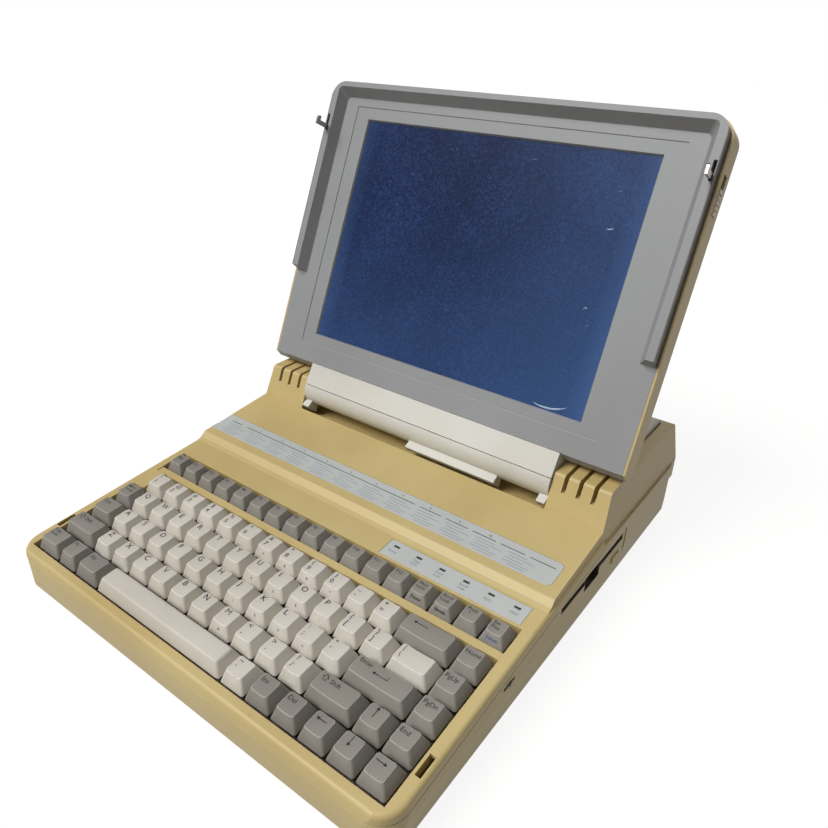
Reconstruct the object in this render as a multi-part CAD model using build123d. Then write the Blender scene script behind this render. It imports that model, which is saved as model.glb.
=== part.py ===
from build123d import *
import os
from math import atan2, cos, degrees, radians, sin, tan

# Portable computer with a hinged lid, in millimetres.
# X runs to the user's right, Y to the back, Z up; the origin is under the middle of the case.
# Two working frames are used besides that one.
# The deck frame is level with the key rows: x, y from the front of the lowest row, z above the key skirts.
# The lid frame starts on the hinge axis: x, v up the lid, n out of the screen.

# Case
BASE_WIDTH = 314.0
BASE_DEPTH = 359.5
TOP_HEIGHT = 80.0
FOOT_HEIGHT = 1.5
FOOT_RADIUS = 8.0
FOOT_INSET = 26.0
WALL = 2.5
FLOOR_SIDE_INSET = 1.8
SIDE_BEND_Z = 20.0
CORNER_RADIUS = 16.0
RIM_EDGE_RADIUS = 2.8
NOSE_UNDERCUT = 1.7
NOSE_RISE = 12.0
NOSE_SETBACK = 1.6
REAR_LEAN = 12.0
SEAM_DROP = 7.0
REAR_SEAM_Z = 46.0
SEAM_BEAD = 0.8
SEAM_GROOVE = 0.7
SEAM_GROOVE_DEPTH = 0.8
SEAM_MARGIN = 30.0

# Deck: the sloping surface that carries the keys
DECK_TILT = 4.8
DECK_FRONT_MARGIN = 9.5
DECK_HEIGHT = 29.2
RIM_Z = 3.0
RIM_SIDE = 8.0
WELL_GAP = 1.6
MID_DECK_INSET = 1.6
TOWER_SIDE_LEAN = 3.0
SLOPE_START = 141.0
BLOCK_LAP = 20.0
BLOCK_ROOT = 12.0
MID_DECK_START = 148.0
MID_DECK_FRONT_Z = 7.2
MID_DECK_REAR_Z = 9.0
TOWER_FACE = 214.3
TOWER_LEAN = 10.2
TOWER_EDGE_RADIUS = 3.0
TOWER_WIDTH = 43.1

# Vents in the tower tops
VENT_MARGIN = 9.1
VENT_PITCH = 10.4
VENT_COUNT = 3
VENT_WIDTH = 2.8
VENT_DEPTH = 9.0
VENT_DROP = 10.0
VENT_REACH = 24.0
VENT_FRAME = 2.0

# Label strip and lamp plate
STRIP_FRONT = 155.0
STRIP_REAR = 176.0
STRIP_MARGIN = 9.0
STRIP_END = 0.6
STRIP_THICK = 0.6
STRIP_CORNER = 4.0
LAMP_MARGIN = 10.7
LAMP_PLATE_WIDTH = 102.7
LAMP_FRONT = 123.6
LAMP_REAR = 138.4
LAMP_THICK = 0.6
LAMP_COUNT = 6
LAMP_INSET = 6.8
LAMP_PITCH = 17.7
LAMP_SIZE = (4.4, 1.9)
LAMP_Y = 134.0
TRIM_GAP = 0.25

# Keys
ROW_DEPTH = 19.05
ROW_UNITS = 15.5
ROW_MARGIN = 9.3625
KEY_GAP = 0.8
KEY_HEIGHT = 9.0
KEY_TOP = 11.8
KEY_DISH = 0.7
FUNCTION_COUNT = 17
FUNCTION_ROW_GAP = 0.8
FUNCTION_DEPTH = 17.6
FUNCTION_HEIGHT = 8.0
STEM_SIDE = 4.0
STEM_LENGTH = 7.0
STEM_GAP = 0.2
SWITCH_SIDE = 13.6
SWITCH_TOP = -4.2
SWITCH_HEIGHT = 8.0
PLATE_TOP = -5.0
PLATE_THICK = 1.2
PLATE_SIDE = 6.8
PLATE_FRONT = 2.9
PLATE_REAR_MARGIN = 1.3
PLATE_CORNER = 5.0
BOARD_THICK = 1.6
STABILISER_SPREAD = 0.34
BAR_WIDTH = 5.2
BAR_GAP = 1.35
FUNCTION_WELL_MARGIN = 1.4

# Lid
HINGE_Y = 233.3
HINGE_Z = 20.9
LID_OPEN = 61.3
LID_SIDE_INSET = 1.0
LID_FOOT = 19.3
LID_FOOT_FRONT = 18.9
LID_FOOT_LOW = 15.0
LID_FOOT_N = 3.0
LID_FOOT_GAP = 0.4
LID_TOP = 240.8
LID_BACK = -12.5
LID_WALL = 2.2
LID_CORNER = 14.0
LID_BACK_RADIUS = 5.0
CLOSE_GAP = 0.4
LIP_HEIGHT = 8.0
LIP_INSET = 2.2
LIP_END = 89.4
LIP_END_SLOPE = 3.3
LIP_FOOT_SIDE = 12.8
LIP_CREST_SIDE = 8.2
LIP_FOOT_V = 230.5
LIP_CREST_V = 236.2
LIP_CORNER = 3.5
LIP_TOP_INSET = 0.8
BEZEL_INSET = 1.6
BEZEL_THICK = 2.2
BEZEL_GAP = 0.1
PANEL_LINE_SIDE = 25.0
PANEL_LINE_LOW = 34.0
PANEL_LINE_HIGH = 224.3
PANEL_LINE_STEP = 0.5
SCREEN_HALF = 117.5
SCREEN_LOW = 42.7
SCREEN_HIGH = 214.6
SCREEN_BEVEL = 1.2
WINDOW_MARGIN = 5.0
WINDOW_THICK = 1.1
PANEL_DEPTH = 7.0
PANEL_MARGIN = 9.0

# Hinge neck between the towers
NECK_END_GAP = 0.6
BARREL_RADIUS = 14.0
SWEEP_RADIUS = 20.3
POCKET_RADIUS = 22.6
NECK_SEAM_V = 1.3
NECK_SEAM_GAP = 0.5
NECK_PANEL_THICK = 5.5
NECK_PANEL_PROUD = 2.1
NECK_PANEL_SEAT = 0.2
TAB_LEFT = -5.0
TAB_RIGHT = 72.0
TAB_FOOT_WIDTH = 6.5
TAB_START = 144.0
TAB_END = 179.0
PIN_RADIUS = 4.0
PIN_RUN = 0.05
PIN_REACH = 13.0
PIN_HOLE_SPARE = 1.0
PIN_HOLE_GAP = 0.4
BRACKET_THICK = 2.5
BRACKET_WIDTH = 26.0
BRACKET_FRONT = 5.5
BRACKET_FOOT = 18.0
BRACKET_RISE = 7.6

# Lid latches
LATCH_SIDE = 4.2
HOOK_THICK = 1.6
HOOK_WIDTH = 3.5
HOOK_STEP = 17.3
HOOK_NOSE = 3.2
HOOK_NOSE_THICK = 3.2
HOOK_REACH = 8.9
HOOK_TAIL = 1.3
LATCH_TRAVEL = 7.3
LATCH_SLOT_SPARE = 0.7
KNOB_V = 185.0
KNOB_LENGTH = 16.0
KNOB_N = (-1.5, 5.5)
KNOB_DEPTH = 1.7
KNOB_GAP = 0.3
RIM_SLOT_WIDTH = 3.5
RIM_SLOT_LENGTH = 13.0
RIM_SLOT_SPARE = 0.4
KEEPER_DEPTH = 3.9
KEEPER_HEIGHT = 5.7

# Floppy drive in the right side
DRIVE_WIDTH = 101.6
DRIVE_HEIGHT = 25.4
DRIVE_LENGTH = 140.0
DRIVE_FROM_FRONT = 211.55
RAIL_SPREAD = 38.0
DRIVE_FLOOR_Z = 12.0
DRIVE_FACE_DEPTH = 2.4
DISK_SLOT_WIDTH = 92.0
DISK_SLOT_HEIGHT = 5.0
DISK_SLOT_Z = 33.0
DISK_SLOT_REACH = 90.0
FINGER_WIDTH = 22.0
FINGER_HEIGHT = 12.0
FINGER_DROP = 3.0
FINGER_REACH = 12.0
FINGER_OFFSET = -2.0
EJECT_WIDTH = 11.0
EJECT_HEIGHT = 5.0
EJECT_OFFSET = 36.0
EJECT_Z = 21.0
EJECT_TRAVEL = 4.0
EJECT_PROUD = 1.0
EJECT_LENGTH = 12.0

# Thumb wheel in the right side
WHEEL_RADIUS = 6.5
WHEEL_THICK = 2.0
WHEEL_PROUD = 1.0
WHEEL_FROM_FRONT = 104.75
WHEEL_Z = 27.6
WHEEL_SLOT = (11.6, 2.8)
WHEEL_NOTCHES = 16
WHEEL_NOTCH_DEPTH = 0.6
WHEEL_PIN_RADIUS = 1.5
WHEEL_PIN_RUN = 0.05
WHEEL_LUG_THICK = 2.0

# Power switch in the left side
SWITCH_FROM_FRONT = 299.75
SWITCH_Z = 27.0
SLIDER_SIZE = (7.0, 5.0)
SLIDER_TRAVEL = 4.0
SLIDER_PROUD = 1.0
SLIDER_GAP = 0.3

# Battery bay behind the lid
COVER_SIDE = 14.0
COVER_START = 258.5
COVER_REAR_MARGIN = 19.0
COVER_RISE = 3.0
COVER_SKIRT = 5.0
COVER_GAP = 1.0
COVER_LEDGE = 1.2
BATTERY_HEIGHT = 26.0
BATTERY_GAP = 1.5

# Rear sockets: name, centre x, shell width
SOCKETS = ((-92.0, 53.0), (-28.0, 31.0), (20.0, 31.0))
SOCKET_HEIGHT = 12.5
SOCKET_Z = 26.0
SOCKET_SINK = 5.5
SOCKET_DEPTH = 12.0
JACK_X = 62.0
JACK_RADIUS = 5.5
JACK_BORE = 2.9

# Boards and screws
BOARD_Z = 7.0
STANDOFF_RADIUS = 3.0
BOARD_EDGE = 11.0
MAIN_BOARD_SIDE = 25.0
MAIN_BOARD_FRONT = 109.75
MAIN_BOARD_REAR = 30.0
MAIN_BOARD_WIDTH = 136.0
CHIP_HEIGHT = 3.0
# Largest chips: x and y from the board's front left corner, side
CHIPS = ((32.0, 40.0, 28.0), (82.0, 40.0, 28.0), (32.0, 100.0, 34.0), (92.0, 104.0, 24.0))
SCREW_RADIUS = 2.9
SCREW_HEAD = 1.6
SCREW_SIDE = 14.0
SCREW_STEP = 20.0
BOSS_HEIGHT = 6.0
CLEAR = 0.3

FRONT_Y = -BASE_DEPTH / 2
REAR_Y = BASE_DEPTH / 2
DRIVE_CENTRE_Y = FRONT_Y + DRIVE_FROM_FRONT
WHEEL_Y = FRONT_Y + WHEEL_FROM_FRONT
SWITCH_Y = FRONT_Y + SWITCH_FROM_FRONT
HALF = BASE_WIDTH / 2
FLOOR_HALF_WIDTH = HALF - FLOOR_SIDE_INSET
RIM_INNER = HALF - RIM_SIDE
MID_DECK_HALF = HALF - MID_DECK_INSET
TOWER_INNER = HALF - MID_DECK_INSET - TOWER_WIDTH
VENT_FIRST = TOWER_INNER + VENT_MARGIN
STRIP_RIGHT = HALF - STRIP_MARGIN
LAMP_RIGHT = HALF - LAMP_MARGIN
LAMP_LEFT = LAMP_RIGHT - LAMP_PLATE_WIDTH
LAMP_FIRST = LAMP_LEFT + LAMP_INSET
LID_HALF = HALF - LID_SIDE_INSET
LIP_FOOT_HALF = LID_HALF - LIP_FOOT_SIDE
LIP_CREST_HALF = LID_HALF - LIP_CREST_SIDE
PANEL_LINE_HALF = LID_HALF - PANEL_LINE_SIDE
NECK_HALF = TOWER_INNER - NECK_END_GAP
LATCH_X = LID_HALF - LATCH_SIDE
HOOK_V = KNOB_V + HOOK_STEP
RIM_SLOT_REAR = HINGE_Y - HOOK_V + RIM_SLOT_SPARE
RIM_SLOT_Y = (RIM_SLOT_REAR - RIM_SLOT_LENGTH, RIM_SLOT_REAR)
COVER_HALF = HALF - COVER_SIDE
PLATE_HALF = HALF - PLATE_SIDE
DECK_Y0 = FRONT_Y + DECK_FRONT_MARGIN
DECK = Location((0, DECK_Y0, DECK_HEIGHT), (DECK_TILT, 0, 0))
KEY_PITCH = (BASE_WIDTH - 2 * ROW_MARGIN) / ROW_UNITS
KEY_LEFT = -ROW_UNITS * KEY_PITCH / 2
FUNCTION_PITCH = ROW_UNITS * KEY_PITCH / FUNCTION_COUNT
BAR_FRONT = 5 * ROW_DEPTH + BAR_GAP
FUNCTION_WELL_FRONT = BAR_FRONT + BAR_WIDTH
FUNCTION_FRONT = FUNCTION_WELL_FRONT + FUNCTION_ROW_GAP
FUNCTION_WELL_REAR = FUNCTION_FRONT + FUNCTION_DEPTH + FUNCTION_WELL_MARGIN
PLATE_REAR = FUNCTION_WELL_REAR + PLATE_REAR_MARGIN
BEZEL_N = HINGE_Z - RIM_Z - CLOSE_GAP - LIP_HEIGHT
LIP_N = BEZEL_N + LIP_HEIGHT
FLOOR_TOP = FOOT_HEIGHT + WALL


def on_deck(y, z):
    """Side-view point (Y, Z) of a place given in the deck frame."""
    a = radians(DECK_TILT)
    return (DECK_Y0 + y * cos(a) - z * sin(a), DECK_HEIGHT + y * sin(a) + z * cos(a))


HINGE = on_deck(HINGE_Y, HINGE_Z)
LID = Location((0, *HINGE), (LID_OPEN + DECK_TILT, 0, 0))


def box(x, y, z):
    """A block between two corners, each argument a (low, high) pair."""
    size = [b - a for a, b in (x, y, z)]
    middle = [(a + b) / 2 for a, b in (x, y, z)]
    return Pos(*middle) * Box(*size)


def mirrored(pair):
    """The same (low, high) pair on the other side of zero."""
    return (-pair[1], -pair[0])


def side_face(points, inset=0.0):
    """A closed side-view outline, drawn in the YZ plane and drawn in by a wall."""
    face = make_face(Polyline(*points, close=True))
    if inset:
        face = offset(face, amount=-inset, kind=Kind.INTERSECTION)
    return Plane.YZ * face


def across(face, half):
    """A side-view outline pushed out to both sides."""
    return extrude(face, amount=half, both=True)


def seam_outline():
    """Side view of all that lies under the join of the two housings."""
    low = -10.0
    return [
        (FRONT_Y - SEAM_MARGIN, low),
        (REAR_Y + SEAM_MARGIN, low),
        *seam_line(0),
    ]


def seam_line(drop):
    """The join of the two housings seen from the side, from the back forwards."""
    return [
        (REAR_Y + SEAM_MARGIN, REAR_SEAM_Z - drop),
        (on_deck(TOWER_FACE + 6, 0)[0], REAR_SEAM_Z - drop),
        on_deck(TOWER_FACE - 8, RIM_Z - SEAM_DROP - drop),
        on_deck(-SEAM_MARGIN, RIM_Z - SEAM_DROP - drop),
    ]


def seam_groove():
    """Shadow line round the outside, just under the join."""
    band = across(side_face(seam_line(0) + seam_line(SEAM_GROOVE)[::-1]), HALF + 5)
    keep = 2 * SEAM_GROOVE_DEPTH
    plan = RectangleRounded(BASE_WIDTH - keep, BASE_DEPTH - keep, CORNER_RADIUS - SEAM_GROOVE_DEPTH)
    return band - extrude(plan, amount=TOP_HEIGHT)


def tray(inset):
    """The broad lower body of the case, up to the key deck's rim."""
    rim_front = on_deck(NOSE_SETBACK - DECK_FRONT_MARGIN, RIM_Z)
    ledge_end = on_deck(TOWER_FACE, RIM_Z)
    outline = [
        (FRONT_Y + NOSE_UNDERCUT, FOOT_HEIGHT),
        (REAR_Y - NOSE_UNDERCUT / 2, FOOT_HEIGHT),
        (REAR_Y, FOOT_HEIGHT + NOSE_RISE),
        (REAR_Y, REAR_SEAM_Z),
        (ledge_end[0], REAR_SEAM_Z),
        ledge_end,
        rim_front,
        (FRONT_Y, rim_front[1] - SEAM_DROP),
        (FRONT_Y, FOOT_HEIGHT + NOSE_RISE),
    ]
    body = across(side_face(outline, inset), HALF)
    plan = RectangleRounded(BASE_WIDTH - 2 * inset, BASE_DEPTH - 2 * inset, CORNER_RADIUS - inset)
    body = body & extrude(plan, amount=TOP_HEIGHT)
    end = Polyline(
        (-FLOOR_HALF_WIDTH + inset, 0),
        (-HALF + inset, SIDE_BEND_Z),
        (-HALF + inset, TOP_HEIGHT),
        (HALF - inset, TOP_HEIGHT),
        (HALF - inset, SIDE_BEND_Z),
        (FLOOR_HALF_WIDTH - inset, 0),
        close=True,
    )
    return body & extrude(Plane.XZ * make_face(end), amount=BASE_DEPTH, both=True)


def tower_top():
    """Side-view point where the sloping tower face would meet the level top."""
    foot = on_deck(TOWER_FACE, MID_DECK_REAR_Z)
    return (foot[0] + TOWER_LEAN, TOP_HEIGHT)


def raised_block(inset):
    """The mid deck, the towers and the rear top, narrower than the tray."""
    top = tower_top()
    outline = [
        on_deck(SLOPE_START - BLOCK_LAP, -BLOCK_ROOT),
        (REAR_Y - SEAM_BEAD, DECK_HEIGHT),
        (REAR_Y - SEAM_BEAD, REAR_SEAM_Z),
        (REAR_Y - REAR_LEAN, TOP_HEIGHT),
        top,
        on_deck(TOWER_FACE, MID_DECK_REAR_Z),
        on_deck(MID_DECK_START, MID_DECK_FRONT_Z),
        on_deck(SLOPE_START + 2.5, RIM_Z + 0.9),
        on_deck(SLOPE_START - 1.5, RIM_Z - 0.2),
        on_deck(SLOPE_START - BLOCK_LAP, RIM_Z - 0.2),
    ]
    body = across(side_face(outline, inset), MID_DECK_HALF - inset)
    low = MID_DECK_HALF - inset
    high = low - TOWER_SIDE_LEAN
    end = make_face(Polyline(
        (-low, 0),
        (-low, REAR_SEAM_Z),
        (-high, TOP_HEIGHT),
        (high, TOP_HEIGHT),
        (low, REAR_SEAM_Z),
        (low, 0),
        close=True,
    ))
    body = body & extrude(Plane.XZ * end, amount=BASE_DEPTH, both=True)
    if inset:
        return body
    edges = body.edges().filter_by(Axis.X)
    corner = edges.sort_by_distance((0, *top))[0]
    body = fillet(corner, TOWER_EDGE_RADIUS)
    deck_edge = (0, *on_deck(MID_DECK_START, MID_DECK_FRONT_Z))
    shoulder = body.edges().filter_by(Axis.X).sort_by_distance(deck_edge)[0]
    body = fillet(shoulder, TOWER_EDGE_RADIUS / 2)
    rear = body.edges().filter_by(Axis.X).sort_by_distance((0, REAR_Y - REAR_LEAN, TOP_HEIGHT))[0]
    return fillet(rear, TOWER_EDGE_RADIUS)


def neck_pocket(extra):
    """The trough between the towers that the hinge neck turns in."""
    radius = POCKET_RADIUS + extra
    half = TOWER_INNER + extra
    drum = Plane.YZ * Pos(*HINGE) * Circle(radius)
    trough = extrude(drum, amount=half, both=True)
    above = box((-half, half), (HINGE[0] - radius, HINGE[0] + radius), (HINGE[1], TOP_HEIGHT + 5))
    return trough + above


def base_hollow():
    """The space inside the two housings."""
    return tray(WALL) + raised_block(WALL)


def plate_block(low, high):
    """A slab as large as the key plate, with its rounded corners."""
    slab = box((-PLATE_HALF, PLATE_HALF), (-PLATE_FRONT, PLATE_REAR), (low, high))
    return fillet(slab.edges().filter_by(Axis.Z), PLATE_CORNER)


def rim_rails():
    """Walls under the rim that the key plate is screwed up to."""
    low = PLATE_TOP
    high = RIM_Z - WALL
    outer = plate_block(low, high + 0.1)
    inner = box((-RIM_INNER, RIM_INNER), (-WELL_GAP, FUNCTION_WELL_REAR), (low - 1, high + 1))
    bar = box((-RIM_INNER, RIM_INNER), (BAR_FRONT, FUNCTION_WELL_FRONT), (low, RIM_Z - 0.6))
    number_row = (4 * ROW_DEPTH + KEY_GAP, BAR_FRONT)
    filler = box((-RIM_INNER, KEY_LEFT + KEY_PITCH / 2 - KEY_GAP), number_row, (low, RIM_Z))
    return DECK * (outer - inner + bar + filler + keepers())


def rim_slot():
    """(low, high) x of the right latch slot in the rim."""
    low = LATCH_X - HOOK_THICK / 2 - CLEAR
    return (low, low + RIM_SLOT_WIDTH)


def keepers():
    """Blocks under the rim that the lid's hooks catch under."""
    y = (RIM_SLOT_Y[0] - KEEPER_DEPTH, RIM_SLOT_Y[0])
    z = (RIM_Z - WALL - KEEPER_HEIGHT, RIM_Z - WALL + 0.1)
    return box(rim_slot(), y, z) + box(mirrored(rim_slot()), y, z)


def key_wells():
    """The openings over the keys."""
    main = box((-RIM_INNER, RIM_INNER), (-WELL_GAP, FUNCTION_WELL_REAR), (-WALL, 12))
    return DECK * main


def latch_slots():
    """Slots in the rim that take the lid's hooks."""
    right = box(rim_slot(), RIM_SLOT_Y, (-WALL, 6))
    left = box(mirrored(rim_slot()), RIM_SLOT_Y, (-WALL, 6))
    return DECK * (right + left)


def strip_recess(gap):
    """The long shallow pocket for the paper template, open at the left end."""
    a = degrees(atan2(MID_DECK_REAR_Z - MID_DECK_FRONT_Z, TOWER_FACE - MID_DECK_START))
    rise = MID_DECK_FRONT_Z + (STRIP_FRONT - MID_DECK_START) * tan(radians(a))
    width = STRIP_RIGHT + MID_DECK_HALF - STRIP_END
    depth = STRIP_REAR - STRIP_FRONT
    flat = Rectangle(width + 2 * gap, depth + 2 * gap)
    flat = fillet(flat.vertices().group_by(Axis.X)[-1], STRIP_CORNER + gap)
    flat = Pos(STRIP_RIGHT - width / 2, depth / 2) * flat
    place = DECK * Location((0, STRIP_FRONT, rise - STRIP_THICK - 0.15), (a, 0, 0))
    return place, flat


def vent_frame():
    """Thick rib under each tower's front edge that the slots are cut through."""
    top = tower_top()
    foot = on_deck(TOWER_FACE, MID_DECK_REAR_Z)
    slope = (top[0] - foot[0]) / (TOP_HEIGHT - foot[1])
    low = TOP_HEIGHT - VENT_DROP - VENT_FRAME
    face = side_face([
        (top[0] + 1, TOP_HEIGHT - WALL + 0.1),
        (top[0] - slope * (TOP_HEIGHT - low) + WALL - 0.1, low),
        (top[0] - slope * (TOP_HEIGHT - low) + VENT_DEPTH, low),
        (top[0] + VENT_DEPTH, TOP_HEIGHT - VENT_DEPTH),
        (top[0] + VENT_REACH + VENT_FRAME, TOP_HEIGHT - VENT_DEPTH),
        (top[0] + VENT_REACH + VENT_FRAME, TOP_HEIGHT - WALL + 0.1),
    ])
    last = VENT_FIRST + (VENT_COUNT - 1) * VENT_PITCH
    x = (VENT_FIRST - VENT_WIDTH / 2 - VENT_FRAME, last + VENT_WIDTH / 2 + VENT_FRAME)
    rib = Pos((x[0] + x[1]) / 2, 0, 0) * across(face, (x[1] - x[0]) / 2)
    return rib + mirror(rib, about=Plane.YZ)


def vents():
    """Narrow slots over the front edge of each tower."""
    top = tower_top()
    cut = Part()
    for i in range(VENT_COUNT):
        x = VENT_FIRST + i * VENT_PITCH
        for side in (1, -1):
            slot = box(
                (side * x - VENT_WIDTH / 2, side * x + VENT_WIDTH / 2),
                (top[0] - 8, top[0] + VENT_REACH),
                (TOP_HEIGHT - VENT_DEPTH - VENT_FRAME, TOP_HEIGHT + 5),
            )
            nick = box(
                (side * x - VENT_WIDTH / 2, side * x + VENT_WIDTH / 2),
                (top[0] - TOWER_LEAN, top[0] + VENT_DEPTH + VENT_FRAME),
                (TOP_HEIGHT - VENT_DROP, TOP_HEIGHT + 5),
            )
            cut = cut + slot + nick
    return cut


def bay_opening(gap, low, high):
    """The opening in the rear top for the battery pack."""
    start = on_deck(COVER_START, 0)[0]
    return box(
        (-COVER_HALF - gap, COVER_HALF + gap),
        (start - gap, REAR_Y - COVER_REAR_MARGIN + gap),
        (low, high),
    )


def bay_frame():
    """Walls and ledge round the battery opening, which the cover stands on."""
    high = TOP_HEIGHT - COVER_SKIRT
    wall = bay_opening(COVER_GAP + WALL, high - WALL, TOP_HEIGHT - WALL + 0.1)
    wall = wall - bay_opening(COVER_GAP, high, TOP_HEIGHT)
    return wall - bay_opening(-COVER_LEDGE, 0, high + 1)


def hinge_holes(radius):
    """Round holes through both tower walls on the hinge axis."""
    hole = extrude(Plane.YZ * Pos(*HINGE) * Circle(radius), amount=HALF, both=True)
    inner = TOWER_INNER - PIN_HOLE_SPARE
    outer = TOWER_INNER + WALL + PIN_HOLE_SPARE
    keep = box((-inner, inner), (FRONT_Y, REAR_Y), (0, TOP_HEIGHT))
    ends = box((-outer, outer), (FRONT_Y, REAR_Y), (0, TOP_HEIGHT))
    return (hole & ends) - keep


def shells():
    """Both housings, split along the seam."""
    rim = tray(0)
    long_edges = [e for e in rim.edges() if e.center().Z > FOOT_HEIGHT + NOSE_RISE + 6 and is_rim_edge(e)]
    rim = fillet(long_edges, RIM_EDGE_RADIUS)
    outer = rim + raised_block(0)
    outer = outer - neck_pocket(0)
    over_deck = on_deck(TOWER_FACE, MID_DECK_REAR_Z)[1]
    pocket_y = (on_deck(TOWER_FACE - 1, 0)[0], HINGE[0])
    outer = outer - box((-TOWER_INNER, TOWER_INNER), pocket_y, (over_deck, TOP_HEIGHT))
    hollow = base_hollow() - neck_pocket(WALL)
    case = outer - hollow
    below = across(side_face(seam_outline()), HALF + 5) - neck_pocket(WALL)
    return (case & below) - seam_groove(), case - below


def is_rim_edge(edge):
    """True for the edges round the top of the tray, in front of the towers."""
    a = radians(DECK_TILT)
    for p in (edge @ 0, edge @ 1, edge @ 0.5):
        z = -(p.Y - DECK_Y0) * sin(a) + (p.Z - DECK_HEIGHT) * cos(a)
        if abs(z - RIM_Z) > 0.05 or p.Y > on_deck(TOWER_FACE + 1, 0)[0]:
            return False
    level = abs((edge @ 0).Y - (edge @ 1).Y) < 0.01 and (edge @ 0).Y > 0
    return not level


def side_window(side, y, z, width, height, depth):
    """A block across one side wall of the case."""
    reach = (HALF - depth, HALF + 4)
    across_wall = reach if side > 0 else mirrored(reach)
    return box(across_wall, (y - width / 2, y + width / 2), (z - height / 2, z + height / 2))


def foot_places():
    """Centres of the four feet."""
    x = FLOOR_HALF_WIDTH - FOOT_INSET
    return [(sx * x, sy * (BASE_DEPTH / 2 - FOOT_INSET)) for sx in (-1, 1) for sy in (-1, 1)]


def screw_places():
    """Centres of the case screws, beside the feet and along the sides."""
    x = FLOOR_HALF_WIDTH - SCREW_SIDE
    y = BASE_DEPTH / 2 - FOOT_INSET - SCREW_STEP
    return [(sx * x, sy) for sx in (-1, 1) for sy in (-y, 0, y)]


def board_size():
    """Main board: (x low, x high), (y low, y high)."""
    left = MAIN_BOARD_SIDE - HALF
    return (left, left + MAIN_BOARD_WIDTH), (FRONT_Y + MAIN_BOARD_FRONT, REAR_Y - MAIN_BOARD_REAR)


def standoffs():
    """Posts for the main board, and rails for the drive and the battery."""
    bx, by = board_size()
    posts = Part()
    for x in (bx[0] + 8, bx[1] - 8):
        for y in (by[0] + 8, by[1] - 8):
            post = extrude(RegularPolygon(STANDOFF_RADIUS, 6), amount=BOARD_Z - FLOOR_TOP + 0.1)
            posts = posts + Pos(x, y, FLOOR_TOP - 0.1) * post
    for y in (DRIVE_CENTRE_Y - RAIL_SPREAD, DRIVE_CENTRE_Y + RAIL_SPREAD):
        x = HALF - DRIVE_LENGTH
        rail = box((x + 10, HALF - 12), (y - 3, y + 3), (FLOOR_TOP - 0.1, DRIVE_FLOOR_Z))
        posts = posts + rail
    return posts


def wheel_x():
    """Axis of the wheel, so that it stands just proud of the side."""
    return HALF + WHEEL_PROUD - WHEEL_RADIUS


def wheel_lug():
    """Bracket on the side wall with the post that the wheel turns on."""
    high = WHEEL_Z - WHEEL_THICK / 2
    reach = (wheel_x() - 2 * WHEEL_PIN_RADIUS, HALF - WALL + 0.1)
    lug = box(reach, (WHEEL_Y - 3, WHEEL_Y + 3), (high - WHEEL_LUG_THICK, high))
    post = Pos(wheel_x(), WHEEL_Y, high) * Cylinder(
        WHEEL_PIN_RADIUS, WHEEL_THICK + 0.3, align=(Align.CENTER, Align.CENTER, Align.MIN))
    return lug + post


def battery_space():
    """Corners of the battery pack."""
    start = on_deck(COVER_START, 0)[0]
    high = TOP_HEIGHT + COVER_RISE - WALL
    rear = REAR_Y - COVER_REAR_MARGIN - BATTERY_GAP
    half = COVER_HALF - BATTERY_GAP
    return (-half, half), (start + BATTERY_GAP, rear), (high - BATTERY_HEIGHT, high)


def lower_housing(shell):
    """Bottom tray with its windows, posts, feet recesses and screw holes."""
    body = shell + standoffs()
    body = body - side_window(1, DRIVE_CENTRE_Y, DRIVE_FLOOR_Z + DRIVE_HEIGHT / 2,
                              DRIVE_WIDTH + 2 * CLEAR, DRIVE_HEIGHT + 2 * CLEAR, WALL + 3)
    body = body - side_window(1, WHEEL_Y, WHEEL_Z, *WHEEL_SLOT, WALL + 3) + wheel_lug()
    body = body - side_window(-1, SWITCH_Y, SWITCH_Z, SLIDER_SIZE[0] + SLIDER_TRAVEL + 2 * SLIDER_GAP,
                              SLIDER_SIZE[1] + 2 * SLIDER_GAP, WALL + 3)
    for x, width in SOCKETS:
        body = body + socket_well(x, width) - rear_window(x, width + 2 * CLEAR, SOCKET_HEIGHT + 2 * CLEAR)
    jack_hole = Circle(JACK_RADIUS + CLEAR)
    jack = extrude(Plane.XZ * Pos(JACK_X, SOCKET_Z) * jack_hole, amount=BASE_DEPTH, both=True)
    body = body - (jack & box((0, HALF), (REAR_Y - 8, REAR_Y + 5), (0, TOP_HEIGHT)))
    for x, y in foot_places():
        body = body - Pos(x, y, FOOT_HEIGHT) * Cylinder(FOOT_RADIUS + TRIM_GAP, 1.2)
    for x, y in screw_places():
        foot = RegularPolygon(SCREW_RADIUS + WALL, 6)
        boss = Pos(x, y, FLOOR_TOP - 0.1) * extrude(foot, amount=BOSS_HEIGHT)
        body = body + boss
        body = body - Pos(x, y, FOOT_HEIGHT) * Cylinder(SCREW_RADIUS + TRIM_GAP, 2 * SCREW_HEAD + 0.4)
    return body


def rear_window(x, width, height):
    """A block across the rear wall."""
    reach = (REAR_Y - SOCKET_DEPTH - 1, REAR_Y + 1)
    return box((x - width / 2, x + width / 2), reach, (SOCKET_Z - height / 2, SOCKET_Z + height / 2))


def socket_well(x, width):
    """Collar behind the rear wall that a socket's flange sits in."""
    half = width / 2 + CLEAR + WALL
    high = SOCKET_HEIGHT / 2 + CLEAR + WALL
    return box((x - half, x + half), (REAR_Y - SOCKET_DEPTH, REAR_Y - 1), (SOCKET_Z - high, SOCKET_Z + high))


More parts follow.
